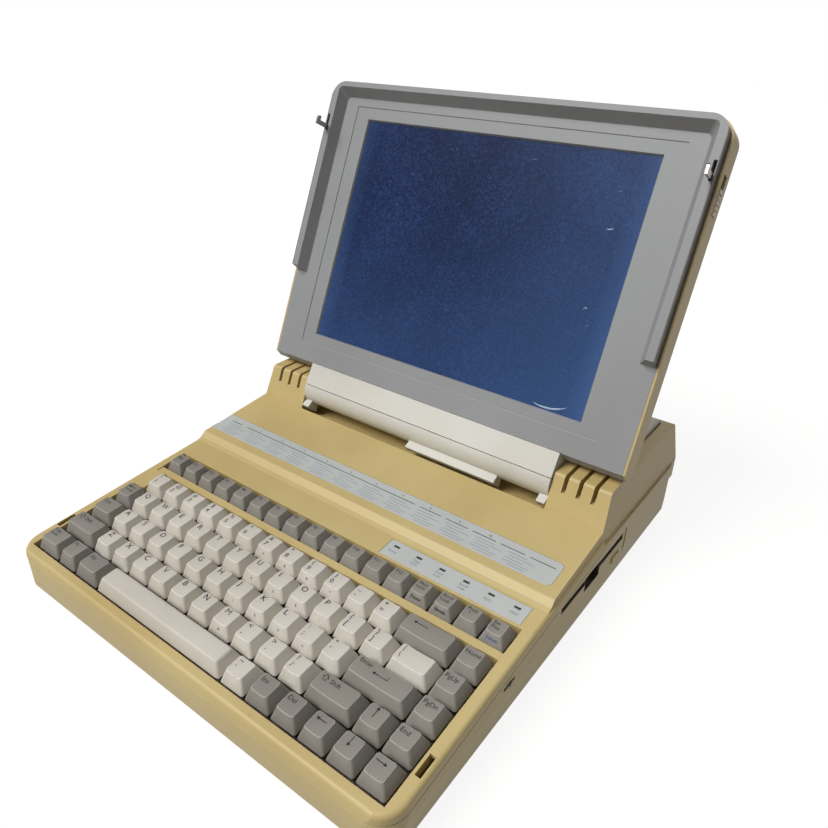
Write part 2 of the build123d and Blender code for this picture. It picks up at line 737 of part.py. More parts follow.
def upper_housing(shell):
    """Top cover with the key wells, mid deck, towers and battery opening."""
    body = shell + vent_frame() - key_wells() + rim_rails() - latch_slots() - vents()
    place, flat = strip_recess(TRIM_GAP)
    body = body - place * extrude(flat, amount=5)
    lamp = box(
        (LAMP_LEFT - TRIM_GAP, LAMP_RIGHT + TRIM_GAP),
        (LAMP_FRONT - TRIM_GAP, LAMP_REAR + TRIM_GAP),
        (RIM_Z - LAMP_THICK - 0.1, RIM_Z + 5),
    )
    body = body - DECK * lamp
    body = body - bay_opening(COVER_GAP, TOP_HEIGHT - WALL - 1, TOP_HEIGHT + 5) + bay_frame()
    return body - hinge_holes(PIN_RADIUS + PIN_HOLE_GAP)


def label_strip():
    """Paper template under its clear cover."""
    place, flat = strip_recess(0)
    return place * extrude(flat, amount=STRIP_THICK)


def lamp_plate():
    """Pale plate beside the lock keys, with a window for each lamp."""
    plate = box((LAMP_LEFT, LAMP_RIGHT), (LAMP_FRONT, LAMP_REAR), (RIM_Z - LAMP_THICK - 0.1, RIM_Z - 0.1))
    for i in range(LAMP_COUNT):
        x = LAMP_FIRST + i * LAMP_PITCH
        plate = plate - Pos(x, LAMP_Y, RIM_Z) * Box(LAMP_SIZE[0], LAMP_SIZE[1], 4)
    return DECK * plate


def lamps():
    """The lamps, one bar in each window."""
    bars = []
    for i in range(LAMP_COUNT):
        x = LAMP_FIRST + i * LAMP_PITCH
        low = RIM_Z - LAMP_THICK - 0.1
        bar = box((x - LAMP_SIZE[0] / 2, x + LAMP_SIZE[0] / 2),
                  (LAMP_Y - LAMP_SIZE[1] / 2, LAMP_Y + LAMP_SIZE[1] / 2),
                  (low, RIM_Z - 0.25))
        bars.append(DECK * bar)
    return Compound(children=bars)


def key_cap(x, y, width, depth, height):
    """A tapered cap with a dished top and its stem, in the deck frame."""
    draw = ROW_DEPTH - KEY_GAP - KEY_TOP
    bottom = Rectangle(width - KEY_GAP, depth - KEY_GAP)
    reach = (width - KEY_GAP - draw) / 2
    cap = extrude(bottom, amount=height, taper=degrees(atan2(draw / 2, height)))
    if width < 1.6 * ROW_DEPTH:
        scoop = make_face(Polyline(
            (-reach, height), (-reach / 2, height - 0.75 * KEY_DISH), (reach / 2, height - 0.75 * KEY_DISH),
            (reach, height), close=True))
        cap = cap - extrude(Plane.XZ * scoop, amount=depth, both=True)
    for shift in stem_shifts(width):
        cap = cap + Pos(shift, 0, -STEM_LENGTH / 2) * Box(STEM_SIDE, STEM_SIDE, STEM_LENGTH)
    return Pos(x + width / 2, y + depth / 2, 0) * cap


def stem_shifts(width):
    """Sideways places of a key's stems: one, or three on a wide key."""
    if width < 2 * ROW_DEPTH - 1:
        return [0.0]
    return [-STABILISER_SPREAD * width, 0.0, STABILISER_SPREAD * width]


def key_rows():
    """Every key as (node, x, y, width, depth, height), from the lowest row up."""
    rows = [
        [("key_caps_lock", 1.25), ("key_fn", 1.0), ("key_alt", 1.25), ("key_space", 6.0), ("key_grave", 1.0),
         ("key_insert", 1.0), ("key_delete", 1.0), ("key_left", 1.0), ("key_down", 1.0), ("key_right", 1.0)],
        [("key_shift_left", 1.75)] + [("keys_lower_letters", 1.0)] * 10
        + [("key_shift_right", 1.75), ("key_up", 1.0), ("key_end", 1.0)],
        [("key_control", 1.25)] + [("keys_home_letters", 1.0)] * 11
        + [("key_enter", 2.25), ("key_page_down", 1.0)],
        [("key_tab", 1.0)] + [("keys_upper_letters", 1.0)] * 12
        + [("key_backslash", 1.5), ("key_page_up", 1.0)],
        [(None, 0.5)] + [("keys_numbers", 1.0)] * 12 + [("key_backspace", 2.0), ("key_home", 1.0)],
    ]
    keys = []
    for row, names in enumerate(rows):
        u = 0.0
        for name, units in names:
            if name:
                place = (KEY_LEFT + u * KEY_PITCH, row * ROW_DEPTH)
                keys.append((name, *place, units * KEY_PITCH, ROW_DEPTH, KEY_HEIGHT))
            u += units
    tops = ["key_escape"] + ["keys_functions"] * 12 + ["keys_locks"] * 4
    for i, name in enumerate(tops):
        x = KEY_LEFT + i * FUNCTION_PITCH
        keys.append((name, x, FUNCTION_FRONT, FUNCTION_PITCH, FUNCTION_DEPTH, FUNCTION_HEIGHT))
    return keys


def key_nodes():
    """Key caps grouped by node, each cap a solid of its own."""
    nodes = {}
    for name, *place in key_rows():
        nodes.setdefault(name, []).append(DECK * key_cap(*place))
    return {name: Compound(children=caps) for name, caps in nodes.items()}


def key_centres():
    """Centre of each stem's switch in the deck frame."""
    centres = []
    for name, x, y, width, depth, height in key_rows():
        centres += [(x + width / 2 + shift, y + depth / 2) for shift in stem_shifts(width)]
    return centres


def key_plate():
    """Steel plate under the keys with a square hole for each switch."""
    plate = plate_block(PLATE_TOP - PLATE_THICK, PLATE_TOP)
    side = SWITCH_SIDE + 2 * STEM_GAP
    holes = [Pos(x, y, PLATE_TOP) * Box(side, side, 4 * PLATE_THICK) for x, y in key_centres()]
    return DECK * (plate - holes)


def key_switches():
    """One open-topped switch body for each stem."""
    bodies = []
    hole = STEM_SIDE + 2 * STEM_GAP
    for x, y in key_centres():
        middle = Pos(x, y, SWITCH_TOP - SWITCH_HEIGHT / 2)
        body = middle * Box(SWITCH_SIDE, SWITCH_SIDE, SWITCH_HEIGHT)
        bodies.append(DECK * (body - middle * Box(hole, hole, SWITCH_HEIGHT + 2)))
    return Compound(children=bodies)


def key_board():
    """Circuit board that the switches stand on."""
    top = SWITCH_TOP - SWITCH_HEIGHT
    rear = FUNCTION_WELL_REAR - 1
    half = HALF - BOARD_EDGE
    return DECK * box((-half, half), (0, rear), (top - BOARD_THICK, top))


def lid_outline(inset):
    """Front view of the lid, with its large top corners."""
    low = LID_FOOT_LOW + inset
    high = LID_TOP - inset
    half = LID_HALF - inset
    flat = Pos(0, (low + high) / 2) * Rectangle(2 * half, high - low)
    return fillet(flat.vertices().group_by(Axis.Y)[-1], LID_CORNER - inset)


def lid_profile(inset):
    """All that lies inside the lid seen from the side, with its foot slanted like the towers' faces."""
    slope = (LID_FOOT_FRONT - LID_FOOT_LOW) / (BEZEL_N - LID_FOOT_N)
    reach = 2 * (BEZEL_N - LID_FOOT_N)
    outline = [
        (LID_FOOT_LOW, LID_FOOT_N),
        (LID_FOOT_LOW + slope * reach, LID_FOOT_N + reach),
        (LID_TOP + reach, LID_FOOT_N + reach),
        (LID_TOP + reach, LID_BACK),
        (LID_FOOT, LID_BACK),
    ]
    return across(side_face(outline, inset), HALF)


def neck_notch(spare):
    """The gap in the lid's foot that the hinge neck comes up in."""
    half = NECK_HALF + LID_FOOT_GAP + spare
    return box((-half, half), (0, LID_FOOT + spare), (LID_BACK - 1, BEZEL_N + 1))


def lid_back_shell():
    """Deep back of the lid, open towards the screen."""
    body = Pos(0, 0, LID_BACK) * extrude(lid_outline(0), amount=BEZEL_N - LID_BACK)
    body = body & lid_profile(0)
    back = body.faces().sort_by(Axis.Z)[0]
    body = fillet(back.edges(), LID_BACK_RADIUS)
    solid = body
    hollow = Pos(0, 0, LID_BACK + LID_WALL) * extrude(lid_outline(LID_WALL), amount=BEZEL_N - LID_BACK)
    seat_outline = lid_outline(BEZEL_INSET - BEZEL_GAP)
    rebate = Pos(0, 0, BEZEL_N - BEZEL_THICK) * extrude(seat_outline, amount=LID_WALL + 1)
    body = body - (hollow & lid_profile(LID_WALL)) - rebate
    behind_bezel = box((-HALF, HALF), (0, LID_TOP), (LID_BACK, BEZEL_N - BEZEL_THICK))
    body = body + (solid & neck_notch(LID_WALL) & behind_bezel)
    body = body - neck_notch(0) - foot_wall_space()
    seat = Pos(0, 0, LID_BACK + LID_WALL) * extrude(
        lid_outline(LID_WALL - 0.3), amount=BEZEL_N - BEZEL_THICK - LID_BACK - LID_WALL)
    ledge = seat - Pos(0, 0, LID_BACK) * extrude(lid_outline(LID_WALL + 1.8), amount=LID_TOP)
    above_foot = (LID_FOOT_FRONT + 2 * BEZEL_THICK, LID_TOP)
    body = body + (ledge & box((-HALF, HALF), above_foot, (BEZEL_N - BEZEL_THICK - 3, BEZEL_N - BEZEL_THICK)))
    for x in (-SCREEN_HALF + 5, SCREEN_HALF - 5):
        for v in (SCREEN_LOW + 5, SCREEN_HIGH - 5):
            low = LID_BACK + LID_WALL - 0.1
            standoff = extrude(RegularPolygon(STANDOFF_RADIUS, 6), amount=panel_back() - low)
            body = body + Pos(x, v, low) * standoff
    for side in (1, -1):
        body = body - knob_recess(side) - hook_slot(side)
    return LID * body


def foot_wall_space():
    """Room in the back shell for the frame's slanted foot wall."""
    half = LID_HALF - BEZEL_INSET + BEZEL_GAP
    return box((-half, half), (0, LID_FOOT_FRONT + 2 * BEZEL_THICK), (LID_FOOT_N - BEZEL_GAP, BEZEL_N + 1))


def panel_back():
    """Rear face of the display module, along n."""
    return BEZEL_N - BEZEL_THICK - WINDOW_THICK - PANEL_DEPTH


def knob_recess(side):
    """Pocket and through slot in the lid's side for the latch knob."""
    length = KNOB_LENGTH + LATCH_TRAVEL + 2 * KNOB_GAP + 1
    low = KNOB_V - KNOB_GAP
    x = (LID_HALF - KNOB_DEPTH, LID_HALF + 2)
    pocket = box(x, (low, low + length), (KNOB_N[0] - KNOB_GAP, KNOB_N[1] + KNOB_GAP))
    inner = (LID_HALF - 8, LID_HALF)
    slot = box(inner, (low + 3, low + length - 1), (KNOB_N[0] + 1, KNOB_N[1] - 1))
    cut = pocket + slot
    return cut if side > 0 else mirror(cut, about=Plane.YZ)


def lip_outline():
    """Outer edge of the raised lip, just inside the lid's."""
    half = LID_HALF - LIP_INSET
    high = LID_TOP - LIP_TOP_INSET
    flat = Pos(0, (LID_FOOT + high) / 2) * Rectangle(2 * half, high - LID_FOOT)
    return fillet(flat.vertices().group_by(Axis.Y)[-1], LID_CORNER - LIP_INSET)


def lid_bezel():
    """Grey frame round the screen with the raised lip of the upper part."""
    half = LID_HALF - BEZEL_INSET
    body = Pos(0, 0, BEZEL_N - BEZEL_THICK) * extrude(lid_outline(BEZEL_INSET), amount=BEZEL_THICK)
    foot_v = (LID_FOOT_LOW, LID_FOOT_FRONT + BEZEL_THICK)
    body = body + box((-half, half), foot_v, (BEZEL_N - BEZEL_THICK, BEZEL_N))
    wall = box((-half, half), foot_v, (LID_FOOT_N, BEZEL_N))
    body = (body & lid_profile(0)) + ((wall & lid_profile(0)) - lid_profile(BEZEL_THICK)) - neck_notch(0)
    lip = Pos(0, 0, BEZEL_N) * extrude(lip_outline(), amount=LIP_HEIGHT)
    low = LIP_END / 2
    foot = Pos(0, (low + LIP_FOOT_V) / 2, BEZEL_N) * RectangleRounded(
        2 * LIP_FOOT_HALF, LIP_FOOT_V - low, LIP_CORNER)
    crest = Pos(0, (low + LIP_CREST_V) / 2, LIP_N) * RectangleRounded(
        2 * LIP_CREST_HALF, LIP_CREST_V - low, LIP_CORNER)
    lip = lip - loft([foot.face(), crest.face()])
    below = make_face(Polyline(
        (0, BEZEL_N), (LIP_END, BEZEL_N), (LIP_END + LIP_END_SLOPE, LIP_N + 1), (0, LIP_N + 1), close=True))
    lip = lip - across(Plane.YZ * below, HALF)
    body = body + lip
    step = box(
        (-PANEL_LINE_HALF, PANEL_LINE_HALF),
        (PANEL_LINE_LOW, PANEL_LINE_HIGH),
        (BEZEL_N - PANEL_LINE_STEP, BEZEL_N + 1),
    )
    body = body - step
    middle = (SCREEN_LOW + SCREEN_HIGH) / 2
    height = SCREEN_HIGH - SCREEN_LOW
    rear = Pos(0, middle, BEZEL_N - BEZEL_THICK) * Rectangle(2 * SCREEN_HALF, height)
    front = Pos(0, middle, BEZEL_N) * Rectangle(2 * (SCREEN_HALF + SCREEN_BEVEL), height + 2 * SCREEN_BEVEL)
    body = body - loft([rear.face(), front.face()])
    body = body - box((-SCREEN_HALF, SCREEN_HALF), (SCREEN_LOW, SCREEN_HIGH), (0, BEZEL_N))
    for side in (1, -1):
        body = body - hook_slot(side)
    return LID * body


def hook_slot(side):
    """Slot in the lip that the hook slides in."""
    x = (LATCH_X - HOOK_THICK / 2 - CLEAR, LATCH_X + HOOK_THICK / 2 + CLEAR)
    v = (HOOK_V - LATCH_SLOT_SPARE, HOOK_V + HOOK_WIDTH + LATCH_TRAVEL + LATCH_SLOT_SPARE)
    return box(x if side > 0 else mirrored(x), v, (0, LIP_N + 1))


def lcd_window():
    """Clear front sheet of the display, against the back of the frame."""
    high = BEZEL_N - BEZEL_THICK
    x = SCREEN_HALF + WINDOW_MARGIN
    v = (SCREEN_LOW - WINDOW_MARGIN, SCREEN_HIGH + WINDOW_MARGIN)
    return LID * box((-x, x), v, (high - WINDOW_THICK, high))


def lcd_module():
    """Display module on the posts of the back shell."""
    high = BEZEL_N - BEZEL_THICK - WINDOW_THICK
    x = SCREEN_HALF + PANEL_MARGIN
    v = (SCREEN_LOW - PANEL_MARGIN, SCREEN_HIGH + PANEL_MARGIN)
    return LID * box((-x, x), v, (panel_back(), high))


def sector(x, start, end, inner, outer):
    """Part of a ring round the hinge axis, angles counted from v towards n."""
    ring = Circle(outer) - Circle(inner)
    far = 3 * outer
    wedge = make_face(Polyline(
        (0, 0),
        (far * cos(radians(start)), far * sin(radians(start))),
        (far * cos(radians(end)), far * sin(radians(end))),
        close=True,
    ))
    piece = extrude(Plane.YZ * (ring & wedge), amount=x[1] - x[0])
    return Pos(x[0], 0, 0) * piece


def neck_barrel():
    """Turning barrel of the hinge neck, with its cable tab and end feet."""
    web = make_face(Polyline(
        (0, -BARREL_RADIUS),
        (LID_FOOT, LID_BACK + LID_BACK_RADIUS),
        (LID_FOOT, BARREL_RADIUS - NECK_PANEL_THICK),
        (NECK_SEAM_V, BARREL_RADIUS - NECK_PANEL_THICK),
        (NECK_SEAM_V, 0),
        close=True,
    ))
    body = across(Plane.YZ * (Circle(BARREL_RADIUS) + web), NECK_HALF)
    seat = (BARREL_RADIUS - NECK_PANEL_THICK, 2 * BARREL_RADIUS)
    body = body - box((-NECK_HALF - 1, NECK_HALF + 1), (NECK_SEAM_V, 2 * LID_FOOT), seat)
    right_foot = (NECK_HALF - TAB_FOOT_WIDTH, NECK_HALF)
    left_foot = (-NECK_HALF, TAB_FOOT_WIDTH - NECK_HALF)
    for x in ((TAB_LEFT, TAB_RIGHT), right_foot, left_foot):
        body = body + sector(x, TAB_START, TAB_END, BARREL_RADIUS - 1, SWEEP_RADIUS)
    bore = extrude(Plane.YZ * Circle(PIN_RADIUS + PIN_RUN), amount=NECK_HALF + 5, both=True)
    solid_middle = NECK_HALF - PIN_REACH - 1
    thick = (-BARREL_RADIUS, BARREL_RADIUS)
    bore = bore - box((-solid_middle, solid_middle), thick, thick)
    return LID * (body - bore)


def neck_panel():
    """Flat upper cover of the hinge neck, under the screen frame."""
    low = NECK_SEAM_V + NECK_SEAM_GAP
    high = LID_FOOT - NECK_PANEL_SEAT
    floor = BARREL_RADIUS - NECK_PANEL_THICK
    face = make_face(Polyline(
        (low, floor),
        (high, floor),
        (high, BEZEL_N + NECK_PANEL_PROUD),
        (low, BARREL_RADIUS - NECK_PANEL_SEAT),
        close=True,
    ))
    return LID * across(Plane.YZ * face, NECK_HALF)


def hinge_unit(side):
    """Steel bracket inside the tower with the pin that the neck turns on."""
    wall = TOWER_INNER + WALL
    inner = NECK_HALF - PIN_REACH
    high = HINGE[1] + BRACKET_RISE
    pin = extrude(Plane.YZ * Pos(*HINGE) * Circle(PIN_RADIUS), amount=wall + BRACKET_THICK)
    pin = pin & box((inner, HALF), (FRONT_Y, REAR_Y), (0, TOP_HEIGHT))
    plate = box(
        (wall, wall + BRACKET_THICK),
        (HINGE[0] - BRACKET_FRONT, HINGE[0] - BRACKET_FRONT + BRACKET_WIDTH),
        (HINGE[1] - BRACKET_WIDTH, high),
    )
    foot = box(
        (wall, wall + BRACKET_FOOT),
        (HINGE[0] - BRACKET_FRONT, HINGE[0] - BRACKET_FRONT + BRACKET_WIDTH),
        (HINGE[1] - BRACKET_WIDTH, HINGE[1] - BRACKET_WIDTH + BRACKET_THICK),
    )
    unit = pin + plate + foot
    return unit if side > 0 else mirror(unit, about=Plane.YZ)


def latch_hook(side):
    """Bright metal hook that stands out of the lip."""
    x = (LATCH_X - HOOK_THICK / 2, LATCH_X + HOOK_THICK / 2)
    nose_low = LIP_N + HOOK_REACH
    shank = box(x, (HOOK_V, HOOK_V + HOOK_WIDTH), (KNOB_N[0] + HOOK_TAIL, nose_low + HOOK_NOSE_THICK))
    nose = box(x, (HOOK_V, HOOK_V + HOOK_WIDTH + HOOK_NOSE), (nose_low, nose_low + HOOK_NOSE_THICK))
    tail = box(x, (KNOB_V + 5, HOOK_V + 1), (KNOB_N[0] + HOOK_TAIL, KNOB_N[1] - HOOK_TAIL))
    hook = shank + nose + tail
    tip = hook.edges().filter_by(Axis.X).sort_by_distance(
        (LATCH_X, HOOK_V + HOOK_WIDTH + HOOK_NOSE, nose_low + HOOK_NOSE_THICK))[0]
    hook = fillet(tip, HOOK_NOSE_THICK * 0.7)
    hook = hook if side > 0 else mirror(hook, about=Plane.YZ)
    return LID * hook


def latch_knob(side):
    """Ribbed slide on the lid's side, joined to the hook through the wall."""
    face = box((LID_HALF - KNOB_DEPTH + KNOB_GAP, LID_HALF + 0.6), (KNOB_V, KNOB_V + KNOB_LENGTH), KNOB_N)
    for i in range(4):
        v = KNOB_V + 3.2 + i * 3.2
        face = face - box((LID_HALF - 0.1, LID_HALF + 2), (v - 0.5, v + 0.5), (KNOB_N[0] - 1, KNOB_N[1] + 1))
    tongue = box(
        (LATCH_X + HOOK_THICK / 2, LID_HALF - KNOB_DEPTH + KNOB_GAP + 0.1),
        (KNOB_V + 5, KNOB_V + KNOB_LENGTH - 1),
        (KNOB_N[0] + HOOK_TAIL, KNOB_N[1] - HOOK_TAIL),
    )
    knob = face + tongue
    knob = knob if side > 0 else mirror(knob, about=Plane.YZ)
    return LID * knob


def floppy_drive():
    """Disk drive with its slot and finger notch in the case's right side."""
    y = (DRIVE_CENTRE_Y - DRIVE_WIDTH / 2, DRIVE_CENTRE_Y + DRIVE_WIDTH / 2)
    z = (DRIVE_FLOOR_Z, DRIVE_FLOOR_Z + DRIVE_HEIGHT)
    face_x = HALF - 0.4
    body = box((HALF - DRIVE_LENGTH, face_x - DRIVE_FACE_DEPTH), (y[0] + 1, y[1] - 1), z)
    face = box((face_x - DRIVE_FACE_DEPTH, face_x), y, z)
    body = body + face
    slot = side_window(1, DRIVE_CENTRE_Y, DISK_SLOT_Z, DISK_SLOT_WIDTH, DISK_SLOT_HEIGHT, DISK_SLOT_REACH)
    body = body - slot
    notch = side_window(1, DRIVE_CENTRE_Y + FINGER_OFFSET, DISK_SLOT_Z - FINGER_DROP,
                        FINGER_WIDTH, FINGER_HEIGHT, FINGER_REACH)
    body = body - notch
    hole = side_window(1, DRIVE_CENTRE_Y + EJECT_OFFSET, EJECT_Z,
                       EJECT_WIDTH + 2 * CLEAR, EJECT_HEIGHT + 2 * CLEAR, EJECT_LENGTH + EJECT_TRAVEL + 1)
    return body - hole


def eject_button():
    """Push button beside the finger notch."""
    x = (HALF - EJECT_LENGTH, HALF - 0.4 + EJECT_PROUD)
    y = DRIVE_CENTRE_Y + EJECT_OFFSET
    z = (EJECT_Z - EJECT_HEIGHT / 2, EJECT_Z + EJECT_HEIGHT / 2)
    button = box(x, (y - EJECT_WIDTH / 2, y + EJECT_WIDTH / 2), z)
    rim = button.faces().sort_by(Axis.X)[-1].edges()
    return chamfer(rim, 0.6)


def thumb_wheel():
    """Notched wheel on its post."""
    points = []
    for i in range(2 * WHEEL_NOTCHES):
        turn = radians(180 * i / WHEEL_NOTCHES)
        radius = WHEEL_RADIUS - WHEEL_NOTCH_DEPTH * (i % 2)
        points.append((radius * cos(turn), radius * sin(turn)))
    rim = make_face(Polyline(*points, close=True)) - Circle(WHEEL_PIN_RADIUS + WHEEL_PIN_RUN)
    return Pos(wheel_x(), WHEEL_Y, WHEEL_Z - WHEEL_THICK / 2) * extrude(rim, amount=WHEEL_THICK)


def power_switch():
    """Slide switch in the left side, with its guide plate inside the wall."""
    knob_x = (HALF - WALL - 2, HALF + SLIDER_PROUD)
    y = SWITCH_Y - SLIDER_TRAVEL / 2
    z = (SWITCH_Z - SLIDER_SIZE[1] / 2, SWITCH_Z + SLIDER_SIZE[1] / 2)
    knob = box(mirrored(knob_x), (y - SLIDER_SIZE[0] / 2, y + SLIDER_SIZE[0] / 2), z)
    plate_x = (HALF - WALL - 1.8, HALF - WALL - CLEAR)
    plate = box(mirrored(plate_x), (y - SLIDER_SIZE[0], y + SLIDER_SIZE[0]), (z[0] - 3, z[1] + 3))
    return knob + plate


def battery_cover():
    """Pale cover over the battery bay, set in the rear top with a gap round it."""
    cover = bay_opening(0, TOP_HEIGHT - COVER_SKIRT, TOP_HEIGHT + COVER_RISE)
    top = cover.faces().sort_by(Axis.Z)[-1].edges()
    cover = fillet(top, COVER_RISE * 0.6)
    x, y, z = battery_space()
    return cover - box(x, y, (0, z[1]))


def battery_pack():
    """Battery pack hanging in the cover."""
    return box(*battery_space())


def rear_sockets():
    """Socket shells and the supply jack in the rear wall."""
    pieces = []
    for x, width in SOCKETS:
        lean = tan(radians(10)) * (SOCKET_HEIGHT - 2) / 2
        low = SOCKET_Z - SOCKET_HEIGHT / 2 + 1
        high = SOCKET_Z + SOCKET_HEIGHT / 2 - 1
        half = width / 2 - 3
        flange = box((x - width / 2, x + width / 2), (REAR_Y - SOCKET_DEPTH, REAR_Y - SOCKET_SINK),
                     (SOCKET_Z - SOCKET_HEIGHT / 2, SOCKET_Z + SOCKET_HEIGHT / 2))
        foot = ((x - half + lean, low), (x + half - lean, low))
        head = ((x + half + lean, high), (x - half - lean, high))
        outline = make_face(Polyline(*foot, *head, close=True))
        shell = extrude(Plane.XZ * outline, amount=-REAR_Y)
        shell = shell & box((-HALF, HALF), (REAR_Y - SOCKET_SINK - 1, REAR_Y - CLEAR), (0, TOP_HEIGHT))
        pieces.append(flange + shell)
    ring = Circle(JACK_RADIUS) - Circle(JACK_BORE)
    jack = Pos(0, REAR_Y - 0.8, 0) * extrude(Plane.XZ * Pos(JACK_X, SOCKET_Z) * ring, amount=SOCKET_DEPTH)
    pieces.append(jack)
    return Compound(children=pieces)


def main_board():
    """Main circuit board on its posts, with its largest chips."""
    bx, by = board_size()
    board = box(bx, by, (BOARD_Z, BOARD_Z + BOARD_THICK))
    top = BOARD_Z + BOARD_THICK
    for x, y, side in CHIPS:
        left = bx[0] + x
        front = by[0] + y
        board = board + box((left, left + side), (front, front + side), (top, top + CHIP_HEIGHT))
    return board


def feet():
    """Rubber feet."""
    standing = (Align.CENTER, Align.CENTER, Align.MIN)
    disc = Cylinder(FOOT_RADIUS, FOOT_HEIGHT + 0.6, align=standing)
    discs = [Pos(x, y, 0) * disc for x, y in foot_places()]
    return Compound(children=discs)


def case_screws():
    """Countersunk case screws in the floor."""
    heads = []
    for x, y in screw_places():
        head = Pos(x, y, FOOT_HEIGHT + 0.2) * extrude(RegularPolygon(SCREW_RADIUS, 12), amount=SCREW_HEAD)
        cross = Pos(x, y, FOOT_HEIGHT) * (Box(3.6, 0.8, 1.4) + Box(0.8, 3.6, 1.4))
        heads.append(head - cross)
    return Compound(children=heads)


def build():
    """All nodes by name."""
    low, high = shells()
    nodes = {
        "lower_housing": lower_housing(low),
        "upper_housing": upper_housing(high),
        "label_strip": label_strip(),
        "lamp_plate": lamp_plate(),
        "lamps": lamps(),
        "key_plate": key_plate(),
        "key_switches": key_switches(),
        "key_board": key_board(),
        "lid_back_shell": lid_back_shell(),
        "lid_bezel": lid_bezel(),
        "lcd_window": lcd_window(),
        "lcd_module": lcd_module(),
        "neck_barrel": neck_barrel(),
        "neck_panel": neck_panel(),
        "hinge_left": hinge_unit(-1),
        "hinge_right": hinge_unit(1),
        "latch_hook_left": latch_hook(-1),
        "latch_hook_right": latch_hook(1),
        "latch_knob_left": latch_knob(-1),
        "latch_knob_right": latch_knob(1),
        "floppy_drive": floppy_drive(),
        "eject_button": eject_button(),
        "contrast_wheel": thumb_wheel(),
        "power_switch": power_switch(),
        "battery_cover": battery_cover(),
        "battery_pack": battery_pack(),
        "rear_sockets": rear_sockets(),
        "main_board": main_board(),
        "rubber_feet": feet(),
        "case_screws": case_screws(),
    }
    nodes.update(key_nodes())
    return nodes


os.makedirs("parts", exist_ok=True)
for name, shape in build().items():
    export_step(shape, f"parts/{name}.step")
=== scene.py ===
import math
import bpy
import bmesh
from mathutils import Matrix, Vector


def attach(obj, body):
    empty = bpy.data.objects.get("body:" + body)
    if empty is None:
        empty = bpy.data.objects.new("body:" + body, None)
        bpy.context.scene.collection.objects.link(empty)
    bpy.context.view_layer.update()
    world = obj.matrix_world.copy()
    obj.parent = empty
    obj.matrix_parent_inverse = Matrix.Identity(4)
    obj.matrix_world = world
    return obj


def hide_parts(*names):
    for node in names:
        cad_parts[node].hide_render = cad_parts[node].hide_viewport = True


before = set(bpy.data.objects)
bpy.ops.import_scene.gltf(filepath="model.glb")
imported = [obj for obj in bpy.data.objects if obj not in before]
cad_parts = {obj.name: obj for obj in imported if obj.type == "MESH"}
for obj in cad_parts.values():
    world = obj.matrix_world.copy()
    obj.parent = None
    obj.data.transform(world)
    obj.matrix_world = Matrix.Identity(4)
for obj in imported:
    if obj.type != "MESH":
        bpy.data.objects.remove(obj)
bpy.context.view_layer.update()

# Portable computer with a hinged lid, in millimetres and degrees as in the part's source
MM = 0.001
FRONT_Y = -179.75
REAR_Y = 179.75
DECK_INSET = 9.5
DECK_HEIGHT = 29.2
DECK_TILT = 4.8
# The hinge's place is in the frame of the sloping deck
HINGE_Y = 233.3
HINGE_Z = 20.9
LID_FROM_DECK = 61.3
LID_ANGLE = LID_FROM_DECK + DECK_TILT
BEZEL_FACE = 9.5
WINDOW_DEPTH = 2.2

# Keys: a field 15.5 units wide, and a function row of 17 narrower keys
PITCH = 19.05
FIELD_UNITS = 15.5
FUNCTION_KEYS = 17
KEY_LEFT = -FIELD_UNITS * PITCH / 2
FUNCTION_PITCH = FIELD_UNITS * PITCH / FUNCTION_KEYS
FUNCTION_FRONT = 102.6
FUNCTION_DEPTH = 17.6
CAP_HEIGHT = 9.0
FUNCTION_CAP_HEIGHT = 8.0
KEY_GAP = 1.1
KEY_DRAW = 6.45

# The working frames: the sloping key deck, the lid with y up it and z out of the screen, and the case
DECK = (Matrix.Translation((0, (FRONT_Y + DECK_INSET) * MM, DECK_HEIGHT * MM))
        @ Matrix.Rotation(math.radians(DECK_TILT), 4, "X") @ Matrix.Scale(MM, 4))
hinge = DECK @ Vector((0, HINGE_Y, HINGE_Z))
LID = (Matrix.Translation((0, hinge.y, hinge.z))
       @ Matrix.Rotation(math.radians(LID_ANGLE), 4, "X") @ Matrix.Scale(MM, 4))
WHOLE_CASE = Matrix.Scale(MM, 4)


# Colour and nodes

# A Mix node's two colours and its mixed colour go by these numbers among its sockets
MIX_A = 6
MIX_B = 7
MIX_OUT = 2


def srgb(text):
    """A hex colour as Blender's linear values."""
    channels = []
    for i in (1, 3, 5):
        c = int(text[i:i + 2], 16) / 255
        channels.append(c / 12.92 if c <= 0.04045 else ((c + 0.055) / 1.055) ** 2.4)
    return (*channels, 1.0)


def add(material, kind, inputs=None, stops=(), **settings):
    """One node with its settings and a ramp's stops; an input is a value, hex colour or (node, output)."""
    tree = material.node_tree
    new = tree.nodes.new(kind)
    for key, value in settings.items():
        setattr(new, key, value)
    for socket, value in (inputs or {}).items():
        if isinstance(value, str):
            new.inputs[socket].default_value = srgb(value)
        elif isinstance(value, tuple) and hasattr(value[0], "outputs"):
            tree.links.new(value[0].outputs[value[1]], new.inputs[socket])
        else:
            new.inputs[socket].default_value = value
    if stops:
        elements = new.color_ramp.elements
        while len(elements) < len(stops):
            elements.new(0.5)
        for element, (position, colour) in zip(elements, stops):
            element.position = position
            element.color = srgb(colour)
    return new


def surface(name):
    """An empty node material, and the output that holds its object coordinates."""
    material = bpy.data.materials.new(name)
    material.use_nodes = True
    material.node_tree.nodes.clear()
    place = add(material, "ShaderNodeTexCoord")
    return material, (place, "Object")


# Kinds of surface

# Sizes of the patterns, in millimetres
YELLOWING = 110
DIRT_AND_SHADE_BLOT = 3
# How far from a close face the painted shade reaches
SHADE_REACH = 3
DUST = 3.846
TARNISH = 11.11
INK_WEAR = 1.2
FILM_CRINKLE = 1.6
FILM_CLOUD = 60
